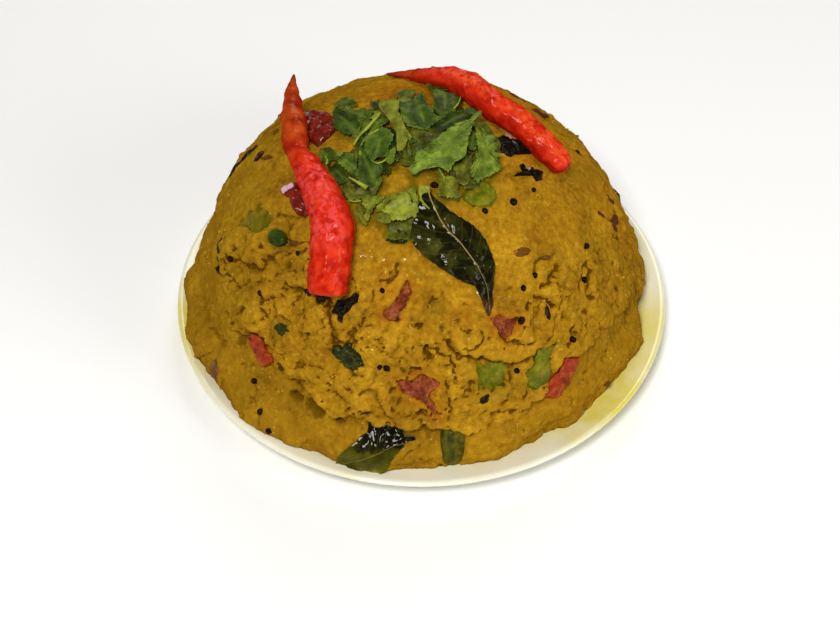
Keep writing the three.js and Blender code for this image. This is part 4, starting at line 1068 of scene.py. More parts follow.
def build_chilli(name, seed):
    st = np.array(CHILLIES[name])
    pts = np.concatenate([at(st[:, 0], st[:, 1], st[:, 2]), st[:, 3:4]], 1)
    line = catmull(pts, 24)
    radius = np.maximum(line[:, 3], 0.12)
    line = line[:, :3]
    seg = np.linalg.norm(np.diff(line, axis=0), axis=1)
    s = np.concatenate([[0], np.cumsum(seg)])
    total = s[-1]
    want = np.linspace(0, total, 190)
    line = np.stack([np.interp(want, s, line[:, k]) for k in range(3)], 1)
    radius = np.interp(want, s, radius)
    for _ in range(3):
        line[1:-1] = (line[:-2] + 2 * line[1:-1] + line[2:]) / 4
    t, side, up = sweep_frames(line)
    m = 56
    th = np.linspace(0, 2 * math.pi, m, endpoint=False)
    ring = np.cos(th)[None, :, None] * side[:, None, :] + np.sin(th)[None, :, None] * up[:, None, :]
    # Shrivelled skin: folds drawn out along the pod, small dents over them.
    u = want[:, None] + 0 * th[None, :]
    fold = np.stack([u / 3.4, np.cos(th)[None, :] * radius[:, None] / 2.0, np.sin(th)[None, :] * radius[:, None] / 2.0], -1)
    fold = fold.reshape(-1, 3) + seed * 13.7
    dent = np.stack([u / 2.1, np.cos(th)[None, :] * radius[:, None] / 1.5, np.sin(th)[None, :] * radius[:, None] / 1.5], -1)
    dent = dent.reshape(-1, 3) + seed * 5.1
    rad = radius[:, None] * np.ones((1, m))
    soft = np.clip(rad.ravel() / 2.5, 0.15, 1)
    bump = 0.30 * fbm(fold, 2, 201) - 0.10 * np.exp(-((perlin(fold * 0.9, 203) / 0.14) ** 2)) + 0.34 * fbm(dent, 2, 205)
    rad = (rad.ravel() + bump * soft).reshape(len(line), m)
    # The cut end closes over a rounded lip to a slightly hollow face.
    verts = (line[:, None, :] + ring * rad[:, :, None]).reshape(-1, 3)
    uu = np.repeat(want / total, m)
    faces = []
    n = len(line)
    for i in range(n - 1):
        for j in range(m):
            k = (j + 1) % m
            faces.append((i * m + j, i * m + k, (i + 1) * m + k, (i + 1) * m + j))
    verts, uu, cut = list(verts), list(uu), [0.0] * (n * m)
    last = (n - 1) * m
    if name == "chilli_left":
        end = ((0.975, 0.55, 0.0), (0.91, 1.10, 0.1), (0.80, 1.50, 0.3), (0.62, 1.62, 0.5), (0.38, 1.45, 0.6), (0.17, 1.35, 0.6))
    else:
        end = ((0.97, 0.55, 0.0), (0.89, 1.10, 0.0), (0.76, 1.65, 0.0), (0.58, 2.10, 0.0), (0.38, 2.40, 0.0), (0.18, 2.55, 0.0))
    for scale, fwd, c in end:
        base = len(verts)
        for j in range(m):
            verts.append(line[-1] + t[-1] * fwd + ring[-1, j] * rad[-1, j] * scale)
            uu.append(1.0)
            cut.append(c)
        for j in range(m):
            k = (j + 1) % m
            faces.append((last + j, last + k, base + k, base + j))
        last = base
    verts.append(line[-1] + t[-1] * (1.30 if name == "chilli_left" else 2.60))
    uu.append(1.0)
    cut.append(end[-1][2])
    for j in range(m):
        faces.append((last + j, last + (j + 1) % m, len(verts) - 1))
    verts.append(line[0] - t[0] * 0.25)
    uu.append(0.0)
    cut.append(0.0)
    for j in range(m):
        faces.append(((j + 1) % m, j, len(verts) - 1))
    verts = np.array(verts)
    o = make_object(name, verts, outward(verts, faces))
    uu = np.array(uu)
    point_attribute(o, "u", uu)
    point_attribute(o, "cut", cut)
    # How dry and brown it is towards the thin end; a painted highlight in pale blotches along the top of the pod, and
    # painted shade low on its sides.
    left = name == "chilli_left"
    point_attribute(o, "dry", smooth(uu, 0.54, 0.30) if left else smooth(uu, 0.30, 0.08))
    axis = np.stack([np.interp(uu, want / total, line[:, k]) for k in range(3)], 1)
    facing = (unit(verts - axis) * unit(axis - CEN)).sum(1)  # how far up its side
    where = smooth(uu, 0.46, 0.60) * smooth(uu, 0.92, 0.80) if left else smooth(uu, 0.16, 0.30) * (0.55 + 0.45 * smooth(uu, 0.62, 0.45))
    point_attribute(o, "painted_highlight", smooth(facing, 0.30, 0.85) * where)
    point_attribute(o, "side", smooth(facing, 0.45, -0.25))
    point_attribute(o, "warm", np.full(len(verts), 0.0 if left else 1.0) * smooth(uu, 0.25, 0.50))
    return o


def outward(verts, faces):
    """The faces, all turned over if the closed mesh they make is inside out."""
    total = 0.0
    c = verts.mean(0)
    for f in faces:
        a = verts[f[0]] - c
        for i in range(1, len(f) - 1):
            total += float(np.dot(a, np.cross(verts[f[i]] - c, verts[f[i + 1]] - c)))
    return faces if total > 0 else [tuple(reversed(f)) for f in faces]


# ---- Curry leaves ---------------------------------------------------------------------------------
def build_sheet(name):
    """A leaf from its outline and its rib, lying on the mash, hardly thicker than it is in life."""
    az, pol, outline, rib = SHEETS[name]
    right, down, out = tangent(az, pol)
    front = name != "curry_leaf_base"
    o = np.array(outline, float)
    pts = []
    for a, b in zip(o, np.roll(o, -1, 0)):
        k = max(1, int(np.linalg.norm(b - a) / 0.24))
        pts += [a + (b - a) * t for t in np.arange(k) / k]
    pts = np.array(pts)
    for _ in range(2):
        pts = (np.roll(pts, 1, 0) + 2 * pts + np.roll(pts, -1, 0)) / 4
    c = pts.mean(0)
    away = (pts - c) / np.maximum(np.linalg.norm(pts - c, axis=1, keepdims=True), 1e-6)
    pts = pts + away * (0.22 * fbm(np.stack([pts[:, 0], pts[:, 1], 0 * pts[:, 0]], 1) / 0.9 + 3.3, 2, 311))[:, None]
    n, layers = len(pts), 30
    fr = np.linspace(0, 1, layers + 1)[1:] ** 0.9
    X = np.concatenate([[c[0]]] + [c[0] + (pts[:, 0] - c[0]) * k for k in fr])
    Y = np.concatenate([[c[1]]] + [c[1] + (pts[:, 1] - c[1]) * k for k in fr])
    K = np.concatenate([[0.0]] + [np.full(n, k) for k in fr])
    line = catmull(np.array(rib, float), 6)
    flat = np.stack([X, Y, 0 * X], 1)
    x, u = polyline_side_flat(flat[:, :2], line)
    length = np.linalg.norm(np.diff(line, axis=0), axis=1).sum()
    run = (u * length + 0.75 * np.abs(x)) / 2.3 + 0.25 * (x > 0)
    vein = np.exp(-((((run % 1.0) - 0.5) / 0.10) ** 2)) * (np.abs(x) > 0.3)
    faces = []
    edges = []
    for i in range(n):
        j = (i + 1) % n
        faces.append((0, 1 + i, 1 + j))
        edges.append((0, 1 + i))
        for k in range(layers):
            a = 1 + k * n
            edges.append((a + i, a + j))
            if k < layers - 1:
                faces.append((a + i, a + n + i, a + n + j, a + j))
                edges.append((a + i, a + n + i))
    edges = np.array(edges)
    d = unit(out * R + X[:, None] * right + Y[:, None] * down)
    wave = fbm(flat / 4.5 + 8.0, 2, 301)
    blister = fbm(flat / 1.5 + 2.0, 3, 303)
    groove = 0.10 * np.exp(-((x / 0.22) ** 2)) - 0.20 * np.exp(-((x / 1.1) ** 2))
    if front:
        m = mash(d)[0]
        r = blur(m, edges, 60)
        lift = 0.95 - 0.45 * smooth(u, 0.7, 1.0) + 0.5 * smooth(u, 0.25, 0.0)
        z = lift + 0.45 * wave * (0.4 + 0.6 * K) + 0.16 * blister + groove - 0.05 * vein + 0.35 * np.maximum(K - 0.8, 0) * wave
        r = np.maximum(r + z, m + 0.16)
    else:
        r = mash(d, bare=True)
        fold = fbm(flat / 2.2 + 5.0, 2, 305)
        upper = smooth(Y + 0.35 * X, 0.8, -1.6)  # the charred, crumpled part under the lip of the crust
        r = r + 0.30 + 0.30 * wave + (0.10 + 0.16 * upper) * blister + 0.45 * upper * fold + groove * 1.2 - 0.04 * vein
        r = r + 0.5 * smooth(K, 0.9, 1.0) * smooth(Y, 2.0, 5.0)
    th = 0.26 * (1 - 0.45 * K)
    top, bottom = CEN + d * (r + th / 2)[:, None], CEN + d * (r - th / 2)[:, None]
    m = len(X)
    faces += [tuple(reversed([m + q for q in f])) for f in faces]
    last = 1 + (layers - 1) * n
    for i in range(n):
        j = (i + 1) % n
        faces.append((last + i, m + last + i, m + last + j, last + j))
    verts = np.concatenate([top, bottom])
    ob = make_object(name, verts, outward(verts, faces))
    if front:
        char = smooth(wave + 0.5 * blister, 0.05, -0.12)
        u_ = u
        x = x * (1 + 2.2 * smooth(u, 0.50, 0.80))  # the rib sinks from sight towards the point
    else:
        x = x * 4 + 0.1
        char = smooth(Y + 0.15 * X + 0.9 * blister, 0.5, -0.6) * smooth(X, -5.2, -3.2)
        u_ = smooth(Y - 0.5 * np.abs(X), 2.4, 5.4)
    for key, values in (("u", u_), ("v", K), ("x", x), ("vein", vein), ("char", char)):
        point_attribute(ob, key, np.tile(values, 2))
    return ob


# ---- Chopped coriander ----------------------------------------------------------------------------
# Each leaflet: its outline on the flattened top of the dome (mm from the pole along x and y), height
# of its middle over the dome, slope to x and y, curl, colour (0 dark to 1 light), yellowness, teeth.
LEAFLETS = {
    "left_back": ([(-18.1, 7.5), (-17.5, 8.1), (-16.8, 7.9), (-15.7, 5.8), (-14.3, 3.6), (-12.7, 2.1), (-11.5, 0.7), (-11.6, -0.4), (-12.4, -1.0), (-13.2, -1.7), (-14.0, -1.6), (-14.9, -1.8), (-15.9, -0.5), (-17.1, 0.7), (-17.7, 2.3), (-17.5, 4.0), (-18.1, 5.6)],
        1.8, 0.02, 0.04, -0.01, 0.34, 0.0, 0.3),
    "left_strip": ([(-18.2, 10.3), (-16.7, 9.0), (-15.5, 7.2), (-14.7, 7.6), (-12.9, 6.0), (-11.8, 6.1), (-10.5, 5.5), (-9.1, 4.9), (-9.9, 3.1), (-10.9, 1.7), (-11.7, 1.7), (-12.8, 3.5), (-14.5, 5.0), (-16.0, 6.9), (-17.2, 8.5)],
        1.5, 0.0, 0.08, 0.0, 0.44, 0.1, 0.3),
    "top_dark": ([(-10.0, 8.6), (-9.0, 8.1), (-8.0, 8.4), (-7.9, 6.4), (-8.6, 5.2), (-9.3, 6.3), (-10.0, 7.4)],
        1.2, 0.0, 0.0, 0.0, 0.3, 0.1, 0.25),
    "inner": ([(-7.1, 2.6), (-5.9, 1.0), (-6.0, -0.3), (-7.1, -1.2), (-8.6, -2.7), (-9.6, -3.6), (-10.2, -2.8), (-9.2, -0.8), (-8.1, 1.0)],
        2.0, 0.05, 0.0, 0.0, 0.5, 0.1, 0.25),
    "stalk": ([(-7.9, 5.7), (-6.8, 6.4), (-5.5, 5.9), (-4.2, 5.8), (-3.4, 4.4), (-3.9, 2.4), (-3.2, -0.0), (-2.4, -2.3), (-1.0, -5.1), (-1.3, -5.8), (-1.9, -5.2), (-2.1, -6.1), (-2.4, -7.4), (-3.1, -8.1), (-4.2, -8.2), (-3.4, -6.7), (-3.0, -5.7), (-3.9, -3.9), (-4.9, -1.7), (-5.8, 0.2), (-6.9, 2.4), (-7.8, 4.2)],
        2.7, 0.0, 0.05, -0.012, 0.52, 0.72, 0.12),
    "stalk_end": ([(-1.8, -6.2), (-1.4, -7.5), (-1.0, -9.1), (-1.3, -9.9), (-1.8, -8.9), (-1.9, -7.5)],
        2.0, 0.1, 0.0, 0.0, 0.6, 0.5, 0.1),
    "top_mid": ([(-4.4, 6.4), (-3.0, 5.3), (-1.9, 6.0), (-0.4, 7.5), (0.4, 9.5), (0.9, 8.3), (1.3, 9.5), (1.3, 7.1), (2.0, 4.6), (3.4, 2.4), (3.6, 1.2), (3.0, 0.4), (4.9, 1.1), (5.1, 0.6), (4.0, -0.5), (3.1, -1.3), (2.2, -2.3), (0.9, -2.1), (-0.4, -1.8), (-2.1, -1.5), (-2.8, 0.0), (-3.4, 1.2), (-3.2, 2.8), (-3.7, 4.5)],
        2.3, 0.03, 0.05, -0.008, 0.4, 0.0, 0.34),
    "top_right": ([(3.5, 10.8), (4.5, 11.5), (6.0, 11.2), (7.3, 10.6), (8.0, 9.7), (8.7, 9.4), (9.5, 9.6), (8.9, 7.4), (7.9, 5.1), (8.3, 4.3), (7.5, 3.1), (6.1, 3.1), (5.5, 2.4), (4.0, 2.9), (3.7, 4.3), (3.3, 6.1), (3.6, 8.0)],
        1.8, 0.0, 0.05, -0.01, 0.34, 0.12, 0.34),
    "under_top": ([(3.0, -1.1), (4.0, -0.1), (5.5, 1.0), (7.0, 2.9), (8.6, 4.0), (9.9, 4.7), (10.5, 5.6), (12.1, 5.8), (12.6, 5.1), (12.6, 3.7), (11.5, 2.6), (10.1, 1.4), (8.5, 0.3), (7.2, -0.7), (5.9, -2.0), (4.8, -2.8), (3.8, -2.2)],
        1.6, 0.0, 0.04, 0.0, 0.16, 0.0, 0.36),
    "under_top_b": ([(9.8, 4.2), (10.4, 5.3), (12.1, 5.4), (12.6, 4.4), (11.9, 3.7), (10.9, 4.0)],
        2.0, 0.0, 0.0, 0.0, 0.42, 0.1, 0.2),
    "big": ([(-1.6, -13.4), (-1.0, -12.5), (-0.3, -11.3), (-0.1, -10.1), (1.4, -8.9), (2.9, -7.3), (3.9, -6.1), (4.9, -5.1), (5.2, -4.3), (5.7, -4.4), (6.7, -3.2), (7.7, -2.4), (9.0, -2.0), (10.0, -0.9), (10.4, -1.2), (11.0, 0.1), (11.9, 1.9), (12.9, 2.6), (12.7, 1.3), (11.6, -0.9), (10.8, -2.5), (10.6, -4.0), (10.1, -6.1), (10.0, -8.1), (9.5, -10.2), (8.7, -11.4), (7.8, -11.6), (7.2, -12.1), (6.9, -13.0), (6.4, -14.1), (5.7, -13.7), (5.0, -13.1), (4.2, -13.0), (2.9, -13.2), (1.4, -13.4), (0.4, -13.7), (-0.6, -14.4), (-1.3, -14.0)],
        3.0, 0.05, 0.04, 0.004, 0.7, 0.0, 0.26),
    "fan": ([(12.1, -2.8), (12.4, -0.9), (12.8, -0.5), (13.3, -1.6), (13.6, -0.5), (13.9, -1.6), (14.3, -0.6), (14.5, -2.0), (15.1, -2.0), (15.4, -3.1), (15.9, -1.8), (16.2, -3.1), (15.6, -4.5), (16.8, -4.8), (16.1, -6.2), (17.1, -7.0), (16.4, -8.2), (17.2, -8.9), (17.2, -10.2), (16.8, -11.6), (16.1, -12.2), (15.1, -12.7), (14.3, -12.8), (13.2, -13.6), (12.7, -14.6), (11.5, -13.9), (11.4, -12.4), (11.8, -11.1), (12.3, -9.8), (12.4, -8.2), (12.6, -6.5), (12.2, -4.6)],
        2.5, -0.04, 0.05, -0.01, 0.66, 0.14, 0.62),
    "fan_left": ([(10.8, -2.2), (11.6, -1.3), (12.4, -2.2), (12.5, -3.6), (12.1, -4.8), (12.3, -6.8), (11.4, -7.3), (10.5, -6.6), (10.6, -4.4)],
        1.9, 0.0, 0.0, 0.0, 0.42, 0.1, 0.3),
    "mid": ([(-10.5, -4.9), (-9.6, -4.0), (-8.5, -3.5), (-7.5, -2.6), (-6.5, -2.7), (-5.4, -3.9), (-4.7, -5.3), (-5.0, -6.0), (-5.4, -7.2), (-5.9, -7.8), (-5.8, -9.1), (-6.4, -9.7), (-7.5, -9.9), (-8.5, -10.2), (-9.4, -10.2), (-9.9, -8.9), (-10.3, -7.6), (-10.7, -6.2)],
        2.4, 0.02, 0.06, 0.012, 0.44, 0.0, 0.34),
    "mid_fold": ([(-4.4, -7.6), (-4.2, -8.9), (-4.4, -10.4), (-4.9, -11.6), (-5.6, -11.8), (-6.1, -11.2), (-6.6, -10.3), (-5.9, -9.3), (-5.4, -8.4), (-4.6, -8.0)],
        2.7, 0.16, 0.0, 0.0, 0.6, 0.1, 0.26),
    "low_mid": ([(-12.2, -6.9), (-11.4, -6.4), (-10.4, -7.6), (-9.6, -9.9), (-8.5, -10.7), (-7.3, -11.8), (-7.0, -12.7), (-7.5, -13.9), (-7.3, -15.4), (-8.3, -16.4), (-9.1, -17.1), (-10.1, -16.4), (-10.9, -15.5), (-12.0, -14.4), (-12.5, -13.1), (-12.2, -11.4), (-11.7, -9.6), (-12.0, -8.2)],
        2.0, 0.02, 0.03, -0.006, 0.36, 0.0, 0.4),
    "left_mid": ([(-17.9, -7.1), (-16.8, -7.1), (-15.9, -8.2), (-14.6, -7.7), (-13.3, -8.2), (-12.2, -9.5), (-12.5, -11.1), (-13.2, -11.8), (-12.7, -12.8), (-13.8, -12.5), (-14.8, -10.9), (-15.9, -10.0), (-16.8, -8.5)],
        2.1, 0.0, 0.08, 0.0, 0.46, 0.0, 0.34),
    "left_end": ([(-20.6, -4.3), (-19.5, -4.2), (-18.1, -4.9), (-16.9, -6.4), (-17.2, -7.4), (-18.3, -7.7), (-18.8, -8.9), (-19.4, -7.7), (-20.6, -7.0)],
        1.7, 0.0, 0.04, 0.0, 0.38, 0.05, 0.34),
    "left_low": ([(-19.0, -8.6), (-17.6, -8.7), (-16.2, -9.7), (-15.1, -11.0), (-14.5, -12.7), (-14.8, -13.2), (-15.4, -14.6), (-16.5, -14.0), (-17.3, -11.7), (-18.4, -10.4)],
        1.4, 0.0, 0.0, -0.01, 0.18, 0.1, 0.34),
    "low_left": ([(-15.7, -14.4), (-14.3, -14.4), (-12.7, -15.9), (-12.2, -18.0), (-11.7, -19.8), (-12.8, -18.5), (-14.1, -18.6), (-14.8, -17.0), (-15.4, -15.7)],
        1.2, 0.0, 0.0, 0.0, 0.32, 0.62, 0.34),
    "low_light": ([(-9.6, -16.7), (-8.6, -16.6), (-7.3, -14.7), (-7.0, -15.3), (-7.8, -16.7), (-8.9, -18.3), (-9.6, -17.9)],
        1.9, 0.0, 0.1, 0.0, 0.6, 0.25, 0.2),
    "olive_low": ([(-11.6, -18.3), (-10.8, -17.8), (-9.7, -18.0), (-8.4, -18.1), (-6.6, -18.6), (-7.1, -19.4), (-8.4, -20.3), (-9.8, -22.4), (-10.6, -23.6), (-11.1, -22.8), (-10.3, -21.2), (-11.1, -20.0)],
        1.5, 0.0, 0.0, 0.0, 0.52, 0.5, 0.3),
    "olive_low_b": ([(-12.8, -19.8), (-11.3, -20.1), (-10.6, -21.3), (-11.2, -22.8), (-10.2, -24.3), (-11.6, -23.9), (-12.6, -22.1)],
        1.0, 0.0, 0.0, 0.0, 0.4, 0.8, 0.3),
    "yellow_left": ([(-8.8, -23.4), (-8.2, -22.5), (-7.4, -21.8), (-6.1, -22.2), (-5.3, -23.0), (-5.2, -24.1), (-5.6, -24.6), (-6.7, -24.5), (-7.7, -23.9)],
        1.4, 0.0, 0.0, 0.0, 0.56, 0.55, 0.25),
    "yellow": ([(-7.3, -22.0), (-6.5, -21.0), (-5.5, -20.2), (-4.5, -19.9), (-3.4, -18.7), (-2.1, -18.6), (-1.4, -19.4), (-1.1, -20.5), (-0.6, -21.0), (0.0, -20.7), (0.4, -21.5), (-0.1, -22.6), (-0.1, -23.6), (-1.4, -23.7), (-2.7, -24.1), (-4.0, -24.3), (-5.1, -24.1), (-5.5, -23.2), (-6.3, -22.5)],
        1.9, 0.02, -0.03, -0.01, 0.8, 0.55, 0.4),
    "olive_mid": ([(4.0, -12.7), (4.8, -12.3), (5.8, -14.0), (7.1, -13.9), (8.2, -14.7), (8.7, -16.1), (8.5, -17.3), (9.4, -17.7), (8.8, -18.5), (7.4, -18.5), (6.1, -18.9), (4.8, -18.9), (4.3, -17.3), (4.8, -15.6)],
        1.5, 0.0, 0.0, -0.008, 0.42, 0.72, 0.34),
    "olive_right": ([(7.4, -11.5), (8.7, -10.7), (10.0, -9.2), (10.8, -7.8), (11.6, -7.9), (11.3, -9.9), (11.5, -11.8), (11.1, -13.7), (10.6, -15.2), (9.8, -15.9), (8.7, -15.5), (8.2, -13.8), (7.7, -12.7)],
        1.5, 0.0, 0.0, -0.008, 0.34, 0.62, 0.25),
    "under_fan": ([(11.6, -7.7), (12.5, -6.2), (12.8, -8.8), (11.8, -10.9), (11.7, -13.4), (11.3, -14.1), (11.3, -11.0)],
        1.2, 0.0, 0.0, 0.0, 0.16, 0.5, 0.2),
    "by_leaf": ([(-6.1, -24.2), (-4.6, -24.0), (-1.9, -23.8), (-0.6, -23.6), (-0.9, -26.0), (-1.2, -27.8), (-4.6, -28.0), (-6.5, -27.3), (-6.0, -25.8)],
        0.9, 0.0, 0.0, 0.0, 0.26, 0.55, 0.25),
    "tip_a": ([(0.4, -17.6), (0.7, -16.9), (2.2, -16.7), (2.6, -17.3), (2.7, -18.4), (2.5, -19.8), (1.7, -19.8), (0.7, -19.3)],
        1.8, 0.0, 0.0, 0.0, 0.66, 0.65, 0.18),
    "tip_b": ([(-2.2, -17.5), (-1.1, -16.9), (-0.3, -16.9), (-0.1, -18.1), (0.4, -19.7), (-0.3, -20.6), (-1.0, -19.7), (-1.4, -18.6)],
        1.6, 0.0, 0.0, 0.0, 0.56, 0.5, 0.25),
    # The pieces below are near-black sheets laid in the gaps between the leaflets: painted shade.
    "shade_gap_a": ([(-7.3, 0.1), (-5.9, -0.8), (-4.8, -2.8), (-3.5, -4.4), (-4.5, -5.3), (-5.6, -3.5), (-7.2, -1.4)],
        1.2, 0.0, 0.0, 0.0, 0.0, 0.0, 0.3),
    "shade_gap_b": ([(-5.9, -4.9), (-4.5, -5.4), (-4.2, -7.8), (-5.5, -7.7)],
        1.7, 0.0, 0.0, 0.0, 0.0, 0.0, 0.3),
    "shade_gap_c": ([(-3.5, -4.3), (-1.9, -4.0), (-1.7, -7.4), (-1.4, -10.4), (-3.5, -8.7), (-4.0, -7.3)],
        1.1, 0.0, 0.0, 0.0, 0.1, 0.7, 0.3),
    "shade_gap_d": ([(-13.0, -11.3), (-11.9, -12.8), (-9.8, -16.7), (-11.7, -17.0), (-13.2, -14.6), (-14.3, -12.3)],
        1.2, 0.0, 0.0, 0.0, 0.1, 0.3, 0.3),
    "shade_gap_e": ([(-11.9, -2.2), (-10.6, -2.5), (-10.3, -5.4), (-11.6, -6.5), (-12.7, -4.9)],
        1.4, 0.0, 0.0, 0.0, 0.16, 0.2, 0.3),
    "shade_gap_f": ([(2.5, -1.1), (4.1, -1.8), (5.4, -3.1), (3.3, -5.4), (2.0, -4.4), (-1.4, -1.2), (0.7, -1.2)],
        1.2, 0.0, 0.0, 0.0, 0.28, 0.55, 0.3),
    "behind_a": ([(-17.9, 12.0), (-15.9, 12.7), (-13.5, 10.4), (-12.8, 8.1), (-15.1, 8.4), (-16.8, 9.5)],
        1.2, 0.0, 0.0, 0.0, 0.34, 0.4, 0.3),
    "behind_b": ([(-4.7, 10.6), (-2.6, 12.6), (-0.4, 11.9), (-0.9, 8.7), (-3.1, 7.4)],
        1.2, 0.0, 0.0, 0.0, 0.36, 0.4, 0.3),
    "behind_c": ([(1.8, 15.1), (4.0, 16.7), (6.2, 15.1), (5.6, 12.5), (3.4, 12.1)],
        1.2, 0.0, 0.0, 0.0, 0.4, 0.2, 0.3),
}
# Stems: points (x, y, height over the dome), half-width at the start and the end, colour, yellowness.
STEMS = [
    ([(-7.5, 2.4, 2.7), (-10.0, -2.0, 3.0), (-11.6, -3.6, 2.8), (-13.1, -5.5, 2.2)], 0.4, 0.3, 0.92, 0.35),
    ([(-14.0, -13.5, 2.3), (-12.1, -15.2, 2.6), (-10.2, -16.6, 2.2)], 0.14, 0.5, 0.95, 0.4),
    ([(0.7, -19.6, 2.0), (1.8, -21.1, 2.2), (2.7, -21.8, 2.0)], 0.28, 0.14, 0.68, 0.6),
    ([(9.3, 9.4, 2.2), (8.7, 6.3, 2.6), (7.7, 4.3, 2.3)], 0.12, 0.2, 0.9, 0.4),
    ([(-6.9, -2.2, 2.8), (-8.2, -3.3, 3.1), (-9.9, -3.9, 2.8)], 0.18, 0.3, 0.82, 0.25),
    ([(-9.2, -10.6, 2.9), (-8.1, -11.6, 3.1), (-6.8, -11.4, 3.1), (-6.0, -10.6, 2.9)], 0.16, 0.22, 0.78, 0.2),
    ([(7.8, -2.2, 3.3), (8.9, -1.5, 3.7), (10.9, 0.0, 3.5)], 0.4, 0.18, 0.84, 0.15),
    ([(-14.3, -18.6, 1.6), (-13.1, -19.0, 1.8), (-11.6, -19.1, 1.7)], 0.1, 0.16, 0.8, 0.45),
    ([(-19.4, -6.5, 2.0), (-18.7, -8.0, 2.3), (-19.0, -8.8, 2.0)], 0.28, 0.24, 0.78, 0.25),
    ([(-11.3, -19.7, 1.8), (-10.6, -20.3, 2.0), (-10.1, -20.2, 1.8)], 0.34, 0.26, 0.72, 0.5),
    ([(4.5, -12.8, 2.4), (5.1, -13.9, 2.2), (5.8, -14.8, 1.8)], 0.1, 0.14, 0.82, 0.4),
    ([(-2.1, -3.5, 2.9), (-1.5, -5.1, 3.1), (-1.1, -5.5, 2.7)], 0.1, 0.26, 0.62, 0.65),
    ([(-10.3, -3.1, 2.0), (-11.4, -5.9, 2.2), (-11.7, -8.3, 2.0)], 0.22, 0.3, 0.66, 0.35),
]


# Smaller bits of leaf between and under the leaflets, the darker of them painted shade in the gaps: place, half-length,
# half-width, turn, tone, yellowness.
BITS = [
    (0.7, -5.6, 2.3, 2.0, 109, 0.24, 0.56), (-6.9, -20.3, 2.4, 1.2, -141, 0.49, 0.70),
    (-9.9, 0.7, 2.4, 1.6, 67, 0.55, 0.21), (0.2, -8.3, 2.0, 1.7, -158, 0.35, 0.21),
    (1.4, -20.6, 1.7, 1.3, -176, 0.31, 0.70), (-8.5, 3.1, 1.9, 1.6, 107, 0.71, 0.46),
    (8.9, -0.6, 2.4, 1.2, -141, 0.52, 0.07), (-0.9, -3.1, 2.0, 1.4, 136, 0.37, 0.70),
    (-11.6, -1.8, 2.0, 1.5, -164, 0.59, 0.38), (-1.8, -10.7, 2.3, 1.1, 150, 0.30, 0.49),
    (-7.0, -11.3, 2.2, 1.1, 113, 0.18, 0.28), (-13.1, -7.3, 1.9, 1.7, -138, 0.44, 0.46),
    (-2.9, 6.9, 2.3, 1.6, -171, 0.56, 0.49), (6.2, -2.8, 2.2, 1.0, 51, 0.58, 0.04),
    (4.6, 2.2, 2.2, 1.6, 146, 0.34, 0.04), (13.8, -0.2, 2.4, 1.5, 154, 0.41, 0.42),
    (9.1, 5.3, 1.7, 1.1, 52, 0.13, 0.38), (16.3, -2.7, 2.5, 1.3, 110, 0.31, 0.59),
    (-11.3, -17.4, 1.7, 1.2, 173, 0.30, 0.66), (3.2, -6.0, 2.1, 0.8, 49, 0.65, 0.17),
    (11.6, -15.0, 2.0, 1.1, -152, 0.15, 0.77), (-3.8, -18.7, 2.2, 0.8, -156, 0.59, 0.73),
    (11.3, 1.7, 2.3, 0.8, 51, 0.54, 0.28), (-14.0, -14.1, 1.8, 0.8, 130, 0.15, 0.52),
    (-16.2, -7.3, 1.6, 1.4, -168, 0.48, 0.49), (17.0, -5.6, 1.5, 0.7, 81, 0.32, 0.56),
    (7.5, -13.4, 1.6, 0.8, 110, 0.02, 0.66), (-13.7, 3.6, 2.3, 0.7, 133, 0.15, 0.07),
    (-7.9, -2.6, 2.6, 0.8, -145, 0.20, 0.00), (10.3, -7.3, 1.8, 0.6, 88, 0.25, 0.17),
    (-3.7, -9.3, 1.3, 0.7, 90, 0.12, 0.56), (-9.3, 5.6, 1.7, 0.8, 142, 0.48, 0.70),
]


def top_point(x, y, lift):
    """A place over the dome's top from its flattened coordinates."""
    return at(np.degrees(np.arctan2(y, x)), np.degrees(np.hypot(x, y) / R), lift)


